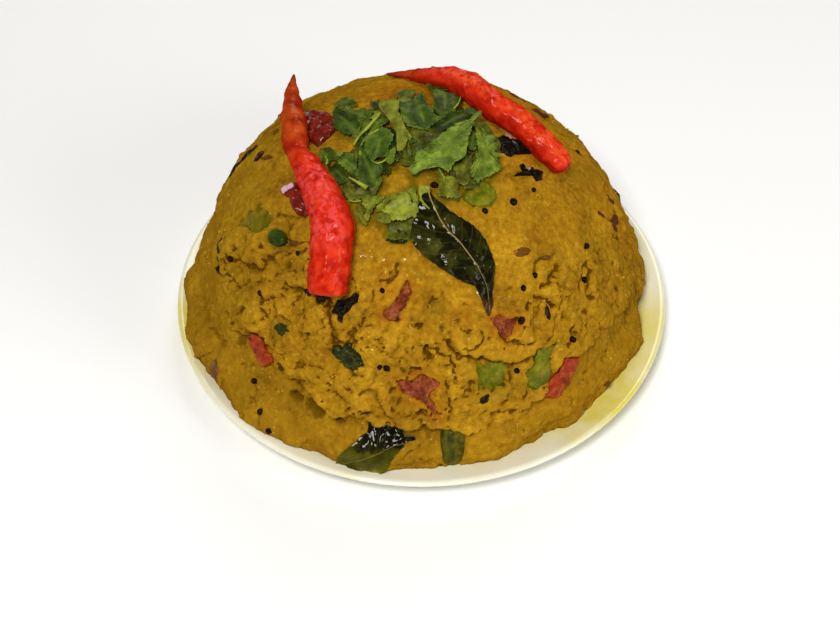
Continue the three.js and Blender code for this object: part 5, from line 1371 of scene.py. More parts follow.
def add_leaflet(batch, outline, lift, sx, sy, curl, tone, yellow, rng, teeth=0.42, layers=8):
    """A cut piece of leaf: its outline with pointed teeth, folded along a crease, veins fanning out of one end."""
    o = np.array(outline, float)
    c0 = o.mean(0)
    pts, keep = [], []
    n0 = len(o)
    for i in range(n0):  # straight between the given corners, bulging a little
        a, b = o[i], o[(i + 1) % n0]
        length = np.linalg.norm(b - a)
        k = max(2, int(length / 0.20))
        normal = np.array([b[1] - a[1], a[0] - b[0]]) / max(length, 1e-6)
        if normal @ ((a + b) / 2 - c0) < 0:
            normal = -normal
        for t in np.arange(k) / k:
            pts.append(a + (b - a) * t + normal * 0.10 * length * t * (1 - t))
            keep.append(normal)
    pts, away = np.array(pts), np.array(keep)
    n = len(pts)
    pts = (np.roll(pts, 1, 0) + 2 * pts + np.roll(pts, -1, 0)) / 4
    s = np.concatenate([[0], np.cumsum(np.linalg.norm(np.diff(pts, axis=0), axis=1))])
    phase = s / rng.uniform(0.80, 1.15) + 0.5 * np.sin(s * 0.7 + rng.uniform(0, 6))
    share = phase % 1.0
    saw = np.where(share < 0.72, share / 0.72, (1 - share) / 0.28)
    big = 0.5 + 0.5 * np.sin(s * 0.55 + rng.uniform(0, 6))
    lobe = np.abs(np.sin(s * 0.80 + 0.8 * np.sin(s * 0.37) + rng.uniform(0, 6)))
    pts = pts + away * (teeth * ((saw - 0.4) * (0.40 + 0.60 * big) + 0.7 * (lobe - 0.6)))[:, None]
    c = pts.mean(0)
    off = rng.uniform(0, 60)
    fr = np.linspace(0, 1, layers + 1)[1:] ** 0.85
    X = np.concatenate([[c[0]]] + [c[0] + (pts[:, 0] - c[0]) * k for k in fr])
    Y = np.concatenate([[c[1]]] + [c[1] + (pts[:, 1] - c[1]) * k for k in fr])
    K = np.concatenate([[0.0]] + [np.full(n, k) for k in fr])
    # The end it grew from is one end of its longest axis.
    q = pts - c
    w, e = np.linalg.eigh(q.T @ q)
    axis = e[:, 1] if rng.random() < 0.5 else -e[:, 1]
    cross = np.array([-axis[1], axis[0]])
    reach = np.abs(q @ axis).max()
    base = c - axis * reach * 1.05
    A = np.arctan2((X - base[0]) * cross[0] + (Y - base[1]) * cross[1], (X - base[0]) * axis[0] + (Y - base[1]) * axis[1])
    D = np.hypot(X - c[0], Y - c[1])
    B = np.hypot(X - base[0], Y - base[1])
    fan = np.cos(A * 9.0 + rng.uniform(-0.5, 0.5)) * np.clip(B / 3, 0, 1)
    p = np.stack([X / 4.0, Y / 4.0, np.full(len(X), off)], 1)
    across = (X - c[0]) * cross[0] + (Y - c[1]) * cross[1]
    crease = rng.uniform(0.05, 0.16) * np.sqrt(across**2 + 0.15)
    z = (lift + sx * (X - c[0]) + sy * (Y - c[1]) + curl * D**2 + crease + 0.75 * fbm(p, 2, 401) * (0.35 + 0.65 * K)
         - 0.07 * fan + 0.16 * fbm(p * 3.2, 2, 403) + rng.uniform(-0.5, 0.7) * np.clip(K - 0.72, 0, 1))
    th = 0.17 * (1 - 0.5 * K)
    top = top_point(X, Y, np.maximum(z + th / 2, 0.25))
    bottom = top_point(X, Y, np.maximum(z + th / 2, 0.25) - th)
    m = len(X)
    faces = []
    for i in range(n):
        j = (i + 1) % n
        faces.append((0, 1 + i, 1 + j))
        faces.append((m, m + 1 + j, m + 1 + i))
        for k in range(layers - 1):
            a, b = 1 + k * n, 1 + (k + 1) * n
            faces.append((a + i, b + i, b + j, a + j))
            faces.append((m + a + j, m + b + j, m + b + i, m + a + i))
        e_ = 1 + (layers - 1) * n
        faces.append((e_ + i, m + e_ + i, m + e_ + j, e_ + j))
    verts = np.concatenate([top, bottom])
    vein = np.clip(fan, 0, 1) ** 6
    batch.add(verts, outward(verts, faces), tone=tone, yellow=yellow, edge=np.tile(K, 2), vein=np.tile(vein, 2))


def add_stem(batch, points, w0, w1, tone, yellow, rng, flat=0.75):
    p = np.array(points, float)
    line = catmull(top_point(p[:, 0], p[:, 1], p[:, 2]), 10)
    n, m = len(line), 12
    t, side, up = sweep_frames(line)
    w = np.linspace(w0, w1, n) * (1 + 0.08 * np.sin(np.arange(n) * 0.9 + rng.uniform(0, 6)))
    th = np.linspace(0, 2 * math.pi, m, endpoint=False)
    f = min(1.0, flat if w0 < 1 else 0.32)
    ring = np.cos(th)[None, :, None] * side[:, None, :] * w[:, None, None]
    ring = ring + np.sin(th)[None, :, None] * up[:, None, :] * (w * f)[:, None, None]
    verts = (line[:, None, :] + ring).reshape(-1, 3)
    verts = np.concatenate([verts, [line[0], line[-1]]])
    faces = []
    for i in range(n - 1):
        for j in range(m):
            k = (j + 1) % m
            faces.append((i * m + j, i * m + k, (i + 1) * m + k, (i + 1) * m + j))
    for j in range(m):
        k = (j + 1) % m
        faces.append((k, j, n * m))
        faces.append(((n - 1) * m + j, (n - 1) * m + k, n * m + 1))
    vein = np.concatenate([np.tile(np.abs(np.sin(th * 2)), n), [0, 0]])
    batch.add(verts, outward(verts, faces), tone=tone, yellow=yellow, edge=0.0, vein=vein * 0.5)


def build_coriander():
    rng = np.random.default_rng(23)
    batch = Batch("tone", "yellow", "edge", "vein")
    for outline, lift, sx, sy, curl, tone, yellow, teeth in LEAFLETS.values():
        add_leaflet(batch, outline, lift, 1.35 * sx, 1.35 * sy, curl, tone, yellow, rng, 1.25 * teeth)
    for points, w0, w1, tone, yellow in STEMS:
        add_stem(batch, points, w0, w1, tone, yellow, rng)
    # Bits of leaf between and under them, the darker of them painted shade in the gaps.
    for x, y, long, wide, turn, tone, yellow in BITS:
        t, k = math.radians(turn), rng.integers(6, 9)
        outline = []
        for b in np.linspace(0, 2 * math.pi, k, endpoint=False) + rng.uniform(-0.25, 0.25, k):
            a, c = long * rng.uniform(0.85, 1.3) * math.cos(b), wide * rng.uniform(0.8, 1.3) * math.sin(b)
            outline.append((x + a * math.cos(t) - c * math.sin(t), y + a * math.sin(t) + c * math.cos(t)))
        add_leaflet(batch, outline, rng.uniform(0.9, 1.5), rng.uniform(-0.25, 0.25), rng.uniform(-0.25, 0.25), 0.0,
                    tone, yellow, rng, teeth=0.45, layers=5)
    # Small torn bits round the leaflets.
    sheets = [np.array(spec[0], float) for spec in LEAFLETS.values()]
    spots = rng.uniform(-22, 22, (700, 2))
    gap = np.min([outline_distance(spots, q) for q in sheets], 0)
    for x, y in spots[(gap > -0.6) & (gap < 0.5)][:34]:
        rad, k = rng.uniform(0.7, 1.5), rng.integers(5, 8)
        angles = np.linspace(0, 2 * math.pi, k, endpoint=False) + rng.uniform(-0.25, 0.25, k)
        outline = [(x + rad * rng.uniform(0.6, 1.25) * math.cos(b), y + rad * rng.uniform(0.5, 1.1) * math.sin(b)) for b in angles]
        add_leaflet(batch, outline, rng.uniform(0.8, 1.4), rng.uniform(-0.2, 0.2), rng.uniform(-0.2, 0.2), 0.0,
                    rng.uniform(0.0, 0.4), rng.uniform(0, 0.6), rng, teeth=0.22, layers=3)
    return batch.build("coriander")


# ---- Plate ----------------------------------------------------------------------------------------
PLATE = [
    (0, 1.2), (20, 1.2), (29.5, 1.2), (30.2, 0.9), (30.6, 0.25), (31.2, 0.0), (33.2, 0.0), (33.8, 0.3),
    (34.4, 0.85), (36, 1.05), (46.8, 1.8), (52.8, 3.4), (56.0, 5.1), (56.7, 5.75), (56.8, 6.15), (56.55, 6.55),
    (55.9, 6.7), (54.8, 6.35), (51.3, 5.25), (46.8, 4.35), (41, 4.0), (20, 4.0), (0, 4.0),
]


def build_plate():
    p = np.array(PLATE, float)
    for _ in range(2):  # corner cutting rounds the profile
        q = [p[0]]
        for a, b in zip(p[:-1], p[1:]):
            q += [a * 0.75 + b * 0.25, a * 0.25 + b * 0.75]
        q.append(p[-1])
        p = np.array(q)
    seg = 160
    th = np.linspace(0, 2 * math.pi, seg, endpoint=False)
    rings, verts = [], []
    for rad, z in p:
        if rad < 0.01:
            rings.append([len(verts)])
            verts.append((0.0, 0.0, z))
        else:
            rings.append(list(range(len(verts), len(verts) + seg)))
            verts += [(rad * math.cos(a), rad * math.sin(a), z) for a in th]
    faces = []
    for a, b in zip(rings[:-1], rings[1:]):
        if len(a) == 1 and len(b) == 1:
            continue
        for j in range(seg):
            k = (j + 1) % seg
            if len(a) == 1:
                faces.append((a[0], b[j], b[k]))
            elif len(b) == 1:
                faces.append((a[j], b[0], a[k]))
            else:
                faces.append((a[j], b[j], b[k], a[k]))
    v = np.array(verts)
    o = make_object("plate", v, outward(v, faces))
    az = np.degrees(np.arctan2(v[:, 1] - CEN[1], v[:, 0] - CEN[0]))
    rho = np.hypot(v[:, 0] - CEN[0], v[:, 1] - CEN[1])
    top = np.clip((v[:, 2] - 3.6) / 0.4, 0, 1)
    n = fbm(v / 9.0, 3, 501)
    # Yellow near the foot of the mash: an oil stain, with bands to the right and the left that are a painted reflection
    # of the mash.
    band = np.exp(-(((az + 38 + 10 * n) / 17.0) ** 2)) + 0.55 * np.exp(-(((az + 12) / 10.0) ** 2))
    band = band + 0.8 * np.exp(-(((az + 164 + 6 * n) / 13.0) ** 2))
    oil_and_reflection = top * np.clip(band * 1.15 + 0.5 * np.exp(-np.clip(rho - 52.5, 0, 9) / 1.2) + 0.25 * n, 0, 1)
    point_attribute(o, "oil_and_reflection", oil_and_reflection)
    return o


# ---- Materials ------------------------------------------------------------------------------------
def srgb(r, g, b):
    """A colour given in display units, as linear values."""
    f = lambda c: (c / 255 / 12.92) if c / 255 <= 0.04045 else ((c / 255 + 0.055) / 1.055) ** 2.4
    return (f(r), f(g), f(b), 1.0)


class Nodes:
    """A Principled material and short ways to wire noise into it."""

    def __init__(self, name):
        self.m = bpy.data.materials.new(name)
        self.m.use_nodes = True
        self.t = self.m.node_tree
        self.t.nodes.clear()
        out = self.t.nodes.new("ShaderNodeOutputMaterial")
        self.b = self.t.nodes.new("ShaderNodeBsdfPrincipled")
        self.t.links.new(self.b.outputs[0], out.inputs[0])
        self.object = self.t.nodes.new("ShaderNodeTexCoord").outputs["Object"]

    def put(self, value, socket):
        if isinstance(value, bpy.types.NodeSocket):
            self.t.links.new(value, socket)
        else:
            socket.default_value = value

    def set(self, **values):
        for k, v in values.items():
            self.put(v, self.b.inputs[k.replace("_", " ")])

    def attr(self, name):
        n = self.t.nodes.new("ShaderNodeAttribute")
        n.attribute_name = name
        return n.outputs["Fac"]

    def math(self, op, a, b=0.0, c=0.0, clamp=False):
        n = self.t.nodes.new("ShaderNodeMath")
        n.operation = op
        n.use_clamp = clamp
        for s, v in zip(n.inputs, (a, b, c)):
            self.put(v, s)
        return n.outputs[0]

    def noise(self, size, detail=3.0, rough=0.5, vector=None, stretch=None, offset=0.0):
        """Noise from 0 to 1 with lumps of that size in mm."""
        v = vector or self.object
        if stretch or offset:
            g = self.t.nodes.new("ShaderNodeMapping")
            g.inputs["Location"].default_value = (offset, offset * 0.7, offset * 1.3)
            g.inputs["Scale"].default_value = stretch or (1, 1, 1)
            self.put(v, g.inputs["Vector"])
            v = g.outputs[0]
        n = self.t.nodes.new("ShaderNodeTexNoise")
        n.inputs["Scale"].default_value = 1000.0 / size
        n.inputs["Detail"].default_value = detail
        n.inputs["Roughness"].default_value = rough
        self.put(v, n.inputs["Vector"])
        return n.outputs["Fac"]

    def cells(self, size, feature="F1", output="Distance"):
        n = self.t.nodes.new("ShaderNodeTexVoronoi")
        n.feature = feature
        n.inputs["Scale"].default_value = 1000.0 / size
        self.put(self.object, n.inputs["Vector"])
        return n.outputs[output]

    def range(self, value, a, b, lo=0.0, hi=1.0, smooth_=True):
        n = self.t.nodes.new("ShaderNodeMapRange")
        n.interpolation_type = "SMOOTHSTEP" if smooth_ else "LINEAR"
        for s, v in zip(n.inputs, (value, a, b, lo, hi)):
            self.put(v, s)
        return n.outputs[0]

    def ramp(self, fac, *stops):
        n = self.t.nodes.new("ShaderNodeValToRGB")
        e = n.color_ramp.elements
        while len(e) < len(stops):
            e.new(0.5)
        for s, (pos, col) in zip(e, stops):
            s.position = pos
            s.color = col
        self.put(fac, n.inputs[0])
        return n.outputs[0]

    def mix(self, fac, a, b, blend="MIX"):
        n = self.t.nodes.new("ShaderNodeMix")
        n.data_type = "RGBA"
        n.blend_type = blend
        n.clamp_factor = True
        self.put(fac, n.inputs[0])
        self.put(a, n.inputs[6])
        self.put(b, n.inputs[7])
        return n.outputs[2]

    def fresnel(self, ior):
        n = self.t.nodes.new("ShaderNodeFresnel")
        n.inputs["IOR"].default_value = ior
        return n.outputs[0]

    def bump(self, height, distance, strength=1.0, normal=None):
        """height from 0 to 1 standing for distance mm."""
        n = self.t.nodes.new("ShaderNodeBump")
        n.inputs["Strength"].default_value = strength
        n.inputs["Distance"].default_value = distance * MM
        self.put(height, n.inputs["Height"])
        if normal is not None:
            self.put(normal, n.inputs["Normal"])
        return n.outputs[0]


def mash_material(name, loose=False):
    n = Nodes(name)
    blotch = n.noise(9.0, 3)
    speck = n.noise(1.3, 3, 0.6)
    tiny = n.noise(0.45, 2, 0.6)
    tone = n.math("ADD", n.math("MULTIPLY", blotch, 0.48), n.math("MULTIPLY", speck, 0.52))
    if loose:
        tone = n.math("ADD", tone, n.math("ADD", n.math("MULTIPLY", n.attr("tint"), 0.07), 0.06))
    col = n.ramp(
        tone,
        (0.34, (0.168, 0.076, 0.0045, 1)),
        (0.45, (0.280, 0.135, 0.0060, 1)),
        (0.55, (0.370, 0.187, 0.0080, 1)),
        (0.68, (0.515, 0.285, 0.0160, 1)),
    )
    if not loose:
        col = n.mix(n.math("MULTIPLY", n.attr("green"), 0.80), col, (0.205, 0.129, 0.0060, 1))
        col = n.mix(n.math("MULTIPLY", n.attr("rosy"), 0.62), col, (0.330, 0.085, 0.0040, 1))
        # coriander juice and painted shade between the leaves
        col = n.mix(n.math("MULTIPLY", n.attr("herb_juice_and_shade"), 0.72), col, (0.085, 0.068, 0.0015, 1))
    # paler rava grains and rust-brown, spiced patches
    grain = n.range(n.cells(1.1), 0.16, 0.34, 1.0, 0.0)
    pale = n.math("MULTIPLY", grain, n.range(n.noise(3.2, 2, offset=3.1), 0.48, 0.70))
    col = n.mix(n.math("MULTIPLY", pale, 0.45), col, (0.60, 0.36, 0.040, 1))
    rust = n.range(n.noise(4.6, 4, 0.6, offset=1.7), 0.56, 0.72)
    col = n.mix(n.math("MULTIPLY", rust, 0.42), col, (0.248, 0.095, 0.0050, 1))
    if not loose:
        # Painted shade: darker in crevices (fine), in broad hollows (wide) and in the pits (shade). Painted light:
        # paler on the crests (wide).
        crevice_shade = n.range(n.attr("fine"), -0.03, -0.32)
        col = n.mix(n.math("MULTIPLY", crevice_shade, 0.88), col, (0.070, 0.027, 0.0006, 1))
        hollow_shade = n.range(n.attr("wide"), -0.10, -1.10)
        col = n.mix(n.math("MULTIPLY", hollow_shade, 0.60), col, (0.135, 0.058, 0.0018, 1))
        crest_light = n.range(n.attr("wide"), 0.15, 0.85)
        col = n.mix(n.math("MULTIPLY", crest_light, 0.22), col, (0.50, 0.275, 0.015, 1))
        col = n.mix(n.math("MULTIPLY", n.attr("shade"), 0.88), col, (0.040, 0.017, 0.0012, 1))
        # the smooth foot holds more oil: deeper and more even
        foot = n.range(n.attr("crust"), 0.4, 0.0)
        col = n.mix(n.math("MULTIPLY", foot, 0.40), col, (0.262, 0.136, 0.0055, 1))
    fleck = n.range(n.cells(2.9, output="Distance"), 0.10, 0.04)
    col = n.mix(n.math("MULTIPLY", fleck, 0.5), col, (0.10, 0.045, 0.006, 1))
    rough = n.range(n.noise(2.4, 3, 0.6, offset=5.5), 0.35, 0.68, 0.46, 0.70)
    grit = n.range(n.cells(0.80), 0.55, 0.05)
    h = n.math("ADD", n.math("MULTIPLY", n.noise(1.0, 3, 0.6), 0.40), n.math("MULTIPLY", tiny, 0.25))
    h = n.math("ADD", h, n.math("MULTIPLY", grit, 0.35))
    n.set(Base_Color=col, Roughness=0.28 if loose else rough, Normal=n.bump(h, 0.34, 0.9))
    # drops of oil catch the light here and there
    wet = n.range(n.noise(1.15, 3, 0.6, offset=8.8), 0.610, 0.690, 0.0, 0.40)
    n.set(Coat_Weight=n.math("MULTIPLY", wet, n.range(n.fresnel(1.5), 0.055, 0.20, 1.0, 0.10)))
    n.set(**{"Specular IOR Level": 0.10 if loose else 0.0, "Coat Roughness": 0.14})
    return n.m


def seed_material():
    n = Nodes("mustard_seed")
    t = n.math("ADD", n.math("MULTIPLY", n.attr("tint"), 0.5), n.math("MULTIPLY", n.noise(0.9, 2), 0.5))
    col = n.ramp(t, (0.25, (0.0035, 0.0020, 0.0012, 1)), (0.6, (0.0110, 0.0050, 0.0022, 1)), (0.9, (0.040, 0.014, 0.0045, 1)))
    n.set(Base_Color=col, Roughness=n.range(n.noise(0.8, 2), 0.3, 0.7, 0.28, 0.5), Normal=n.bump(n.noise(0.28, 2), 0.06, 0.8))
    n.set(**{"Specular IOR Level": 0.0, "Coat Weight": 0.13, "Coat Roughness": 0.04})
    return n.m


def bits_material():
    n = Nodes("dark_bits")
    col = n.ramp(
        n.attr("kind"),
        (0.0, (0.010, 0.006, 0.003, 1)),
        (0.35, (0.120, 0.045, 0.006, 1)),
        (0.65, (0.085, 0.020, 0.005, 1)),
        (1.0, (0.022, 0.030, 0.004, 1)),
    )
    col = n.mix(n.range(n.noise(0.9, 3), 0.5, 0.75, 0.0, 0.5), col, (0.20, 0.10, 0.015, 1))
    n.set(Base_Color=col, Roughness=n.range(n.noise(0.7, 2), 0.3, 0.7, 0.25, 0.55), Normal=n.bump(n.noise(0.5, 3), 0.12, 0.8))
    n.set(**{"Specular IOR Level": 0.0, "Coat Weight": 0.12, "Coat Roughness": 0.05})
    return n.m


def chilli_material():
    n = Nodes("red_chilli")
    u = n.attr("u")
    streak = n.noise(2.6, 3, 0.55)
    col = n.ramp(
        streak,
        (0.30, (0.330, 0.0075, 0.0012, 1)),
        (0.48, (0.520, 0.0160, 0.0030, 1)),
        (0.70, (0.690, 0.0430, 0.0110, 1)),
    )
    # the thin end is drier, orange-brown
    brown = n.ramp(n.noise(3.4, 2, offset=2.0), (0.35, (0.210, 0.014, 0.0016, 1)), (0.62, (0.430, 0.060, 0.0060, 1)))
    col = n.mix(n.math("MULTIPLY", n.attr("dry"), 0.94), col, brown)
    # painted shade: darker low on the pod's sides, towards the dome
    col = n.mix(n.math("MULTIPLY", n.attr("side"), 0.75), col, (0.340, 0.0090, 0.0016, 1))
    # painted highlight: pale pink, or orange on the right pod, blotches along the top
    painted_highlight = n.math("MULTIPLY", n.attr("painted_highlight"), n.range(n.noise(1.5, 3, 0.6, offset=6.0), 0.42, 0.60))
    highlight_tint = n.mix(n.attr("warm"), (0.820, 0.075, 0.072, 1), (0.800, 0.125, 0.032, 1))
    col = n.mix(n.math("MULTIPLY", painted_highlight, 0.62), col, highlight_tint)
    tip = n.range(u, 0.09, 0.0)
    col = n.mix(n.math("MULTIPLY", tip, 0.8), col, (0.130, 0.016, 0.003, 1))
    col = n.mix(n.math("MULTIPLY", n.attr("cut"), 0.75), col, (0.62, 0.095, 0.022, 1))
    pale = n.range(n.noise(1.1, 3, 0.6, offset=4.0), 0.62, 0.78, 0.0, 0.18)
    col = n.mix(pale, col, (0.74, 0.085, 0.045, 1))
    h = n.math("ADD", n.math("MULTIPLY", n.noise(1.5, 3, 0.6), 0.80), n.math("MULTIPLY", n.noise(0.30, 2), 0.20))
    # painted sheen: a pale orange rim where the skin turns away from view
    rim = n.range(n.fresnel(1.22), 0.10, 0.45, 0.0, 0.35)
    col = n.mix(n.math("MULTIPLY", rim, n.range(n.noise(4.0, 2, offset=9.0), 0.45, 0.60)), col, (0.85, 0.30, 0.06, 1))
    n.set(Base_Color=col, Roughness=n.range(n.noise(1.6, 3), 0.3, 0.7, 0.36, 0.55), Normal=n.bump(h, 0.30, 0.9))
    n.set(Coat_Weight=n.range(n.fresnel(1.5), 0.05, 0.17, 0.20, 0.0))
    n.set(**{"Coat Roughness": 0.19, "Specular IOR Level": 0.0})
    return n.m


def curry_leaf_material(name, tip_u=None, light=0.0):
    n = Nodes(name)
    col = n.ramp(
        n.noise(5.0, 4, 0.6),
        (0.34, (0.0055, 0.0055, 0.0007, 1)),
        (0.50, (0.0170, 0.0170, 0.0012, 1)),
        (0.66, (0.0560, 0.0530, 0.0050, 1)),
    )
    if name == "curry_leaf_green":
        green = n.ramp(n.noise(4.0, 3), (0.35, (0.030, 0.029, 0.0005, 1)), (0.65, (0.088, 0.080, 0.0012, 1)))
        col = n.mix(n.range(n.attr("char"), 0.9, 0.1), col, green)
    col = n.mix(n.math("MULTIPLY", n.attr("char"), 0.85), col, (0.0035, 0.0030, 0.0006, 1))
    rib = n.range(n.math("ABSOLUTE", n.attr("x")), 0.17, 0.05)
    rib = n.math("MULTIPLY", rib, n.range(n.noise(1.8, 2), 0.25, 0.45, 0.55, 1.0))
    side = n.math("MULTIPLY", n.range(n.attr("vein"), 0.35, 1.0), 0.32)
    col = n.mix(side, col, (0.060, 0.056, 0.012, 1))
    col = n.mix(rib, col, (0.300, 0.215, 0.060, 1))
    if tip_u is None:
        col = n.mix(n.range(n.attr("u"), 0.85, 0.97, 0.0, 0.9), col, (0.060, 0.024, 0.005, 1))
    else:
        col = n.mix(n.range(n.attr("u"), tip_u, 1.0), col, (0.260, 0.230, 0.002, 1))
    h = n.math("ADD", n.math("MULTIPLY", n.noise(1.4, 3, 0.55), 0.7), n.math("MULTIPLY", n.noise(0.4, 2), 0.3))
    n.set(Base_Color=col, Roughness=n.range(n.noise(2.2, 3), 0.3, 0.7, 0.22, 0.42), Normal=n.bump(h, 0.34, 0.9))
    n.set(**{"Coat Weight": 0.27, "Coat Roughness": 0.05, "Specular IOR Level": 0.0})
    return n.m


def coriander_material():
    n = Nodes("coriander")
    tone = n.math("ADD", n.attr("tone"), n.math("MULTIPLY", n.math("SUBTRACT", n.noise(2.4, 3, 0.6), 0.52), 1.35))
    col = n.ramp(
        tone,
        (0.05, (0.010, 0.020, 0.0008, 1)),
        (0.35, (0.034, 0.062, 0.0028, 1)),
        (0.70, (0.100, 0.155, 0.0100, 1)),
        (1.00, (0.270, 0.350, 0.0380, 1)),
    )
    warm = n.ramp(
        tone,
        (0.05, (0.042, 0.038, 0.0008, 1)),
        (0.40, (0.125, 0.110, 0.0030, 1)),
        (0.80, (0.310, 0.310, 0.0200, 1)),
    )
    col = n.mix(n.attr("yellow"), col, warm)
    vein = n.math("MULTIPLY", n.attr("vein"), 0.28)
    col = n.mix(vein, col, (0.190, 0.260, 0.030, 1))
    rim = n.math("MULTIPLY", n.range(n.attr("edge"), 0.90, 1.0), n.range(n.noise(2.0, 2, offset=3.0), 0.48, 0.62, 0.0, 0.55))
    col = n.mix(rim, col, (0.230, 0.300, 0.030, 1))
    h = n.math("ADD", n.math("MULTIPLY", n.noise(0.9, 3, 0.55), 0.6), n.math("MULTIPLY", n.noise(0.3, 2), 0.4))
    n.set(Base_Color=col, Roughness=n.range(n.noise(1.6, 2), 0.3, 0.7, 0.42, 0.60), Normal=n.bump(h, 0.14, 0.7))
    n.set(**{"Specular IOR Level": 0.12, "Coat Weight": 0.03, "Coat Roughness": 0.25})
    return n.m


def veg_material(name, dark, mid, light, wet=0.3, size=1.8, stripe=None, edge=None, film=0.0, film_edge=(0.50, 0.60), pale_spots=None):
    n = Nodes(name)
    t = n.math("ADD", n.math("MULTIPLY", n.noise(size, 3, 0.6), 0.75), n.math("MULTIPLY", n.noise(0.5, 2), 0.25))
    col = n.ramp(t, (0.32, dark), (0.50, mid), (0.68, light))
    if stripe:
        w = n.math("SINE", n.math("MULTIPLY", n.attr("u"), stripe[0]))
        col = n.mix(n.range(w, 0.2, 1.0, 0.0, 0.5), col, stripe[1])
    if edge:
        rim = n.range(n.math("MAXIMUM", n.math("ABSOLUTE", n.attr("u")), n.math("ABSOLUTE", n.attr("v"))), 0.62, 1.0)
        col = n.mix(n.math("MULTIPLY", rim, 0.6), col, edge)
    # pale spots: painted glints on the dried chillies and on the charred leaf, and a pale spot on the charred bit
    if pale_spots:
        ragged = n.math("ADD", n.attr("blister"), n.math("MULTIPLY", n.noise(1.1, 3, 0.6, offset=2.9), 0.7))
        col = n.mix(n.range(ragged, 0.80, 0.88), col, pale_spots)
    if film:
        # mash clings to parts of it
        cling = n.math("MULTIPLY", n.range(n.noise(2.3, 3, 0.6, offset=7.7), film_edge[0], film_edge[1]), film)
        col = n.mix(cling, col, (0.42, 0.215, 0.010, 1))
    h = n.math("ADD", n.math("MULTIPLY", n.noise(0.9, 3, 0.55), 0.6), n.math("MULTIPLY", n.noise(0.35, 2), 0.4))
    n.set(Base_Color=col, Roughness=n.range(n.noise(1.5, 2), 0.3, 0.7, 0.26, 0.50), Normal=n.bump(h, 0.20, 0.8))
    n.set(**{"Coat Weight": wet * 0.4, "Coat Roughness": 0.07, "Specular IOR Level": 0.04})
    return n.m


def plate_material():
    n = Nodes("glazed_ceramic")
    col = n.ramp(n.noise(14.0, 3), (0.35, (0.780, 0.755, 0.590, 1)), (0.65, (0.850, 0.830, 0.680, 1)))
    # oil stain and painted reflection of the mash
    oil_and_reflection = n.math("MULTIPLY", n.attr("oil_and_reflection"), n.range(n.noise(3.5, 3, 0.6), 0.25, 0.65, 0.7, 1.0))
    col = n.mix(n.math("MULTIPLY", oil_and_reflection, 0.92), col, (0.660, 0.560, 0.050, 1))
    speck = n.range(n.cells(3.2), 0.07, 0.03)
    col = n.mix(n.math("MULTIPLY", speck, 0.35), col, (0.34, 0.26, 0.14, 1))
    n.set(Base_Color=col, Roughness=n.range(n.noise(6.0, 3), 0.3, 0.7, 0.14, 0.26), Normal=n.bump(n.noise(5.0, 2), 0.05, 0.5))
    n.set(**{"Coat Weight": 0.4, "Coat Roughness": 0.08})
    return n.m


# ---- Build ----------------------------------------------------------------------------------------
def place(o, material, slot, *nodes):
    o.data.materials.append(material)
    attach(o, "root")
    if nodes:
        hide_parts(*nodes)
    return o


MASH = mash_material("millet_mash")
place(build_mash(), MASH, "upma", "upma")
place(build_grains(), mash_material("millet_grain", loose=True), "upma")
place(build_seeds(), seed_material(), "dried_chilli")
place(build_slivers(), bits_material(), "dried_chilli")
CHILLI = chilli_material()
for i, name in enumerate(CHILLIES):
    place(build_chilli(name, i + 1), CHILLI, "red_chilli", name)
LEAF = curry_leaf_material("curry_leaf")
for name in ("curry_leaf_front", "curry_leaf_back"):
    place(build_sheet(name), LEAF, "curry_leaf", name)
place(build_sheet("curry_leaf_base"), curry_leaf_material("curry_leaf_green", tip_u=0.0), "curry_leaf", "curry_leaf_base")
place(build_coriander(), coriander_material(), "coriander", "coriander")
VEG = {
    "tomato": veg_material("tomato", (0.075, 0.011, 0.003, 1), (0.200, 0.034, 0.012, 1), (0.350, 0.105, 0.034, 1), 0.18, film=0.15),
    "red_pepper": veg_material("red_pepper", (0.130, 0.010, 0.002, 1), (0.290, 0.028, 0.006, 1), (0.430, 0.090, 0.022, 1), 0.20, film=0.10),
    "green_pepper": veg_material("green_pepper", (0.050, 0.062, 0.0012, 1), (0.105, 0.115, 0.0022, 1), (0.190, 0.178, 0.0050, 1), 0.30,
                                 size=2.6, film=0.20),
    "green_bean": veg_material("green_bean", (0.018, 0.022, 0.0008, 1), (0.050, 0.050, 0.0014, 1), (0.110, 0.095, 0.0030, 1), 0.25,
                               stripe=(7.0, (0.105, 0.090, 0.004, 1)), film=0.12),
    "dried_chilli": veg_material("dried_chilli", (0.050, 0.002, 0.0010, 1), (0.150, 0.007, 0.002, 1), (0.260, 0.022, 0.005, 1), 2.0, size=2.4),
    "charred_leaf": veg_material("charred_leaf", (0.0015, 0.0010, 0.0006, 1), (0.0045, 0.0028, 0.0012, 1), (0.020, 0.011, 0.0035, 1), 0.35),
    "leaf_bit": veg_material("leaf_bit", (0.003, 0.004, 0.0007, 1), (0.014, 0.019, 0.0016, 1), (0.060, 0.066, 0.0060, 1), 0.45),
    "pea": veg_material("pea", (0.012, 0.024, 0.0010, 1), (0.030, 0.055, 0.0022, 1), (0.075, 0.105, 0.0060, 1), 0.9, size=2.8),
    "onion": veg_material("onion", (0.070, 0.022, 0.010, 1), (0.130, 0.042, 0.014, 1), (0.210, 0.085, 0.022, 1), 0.20, film=0.25),
}
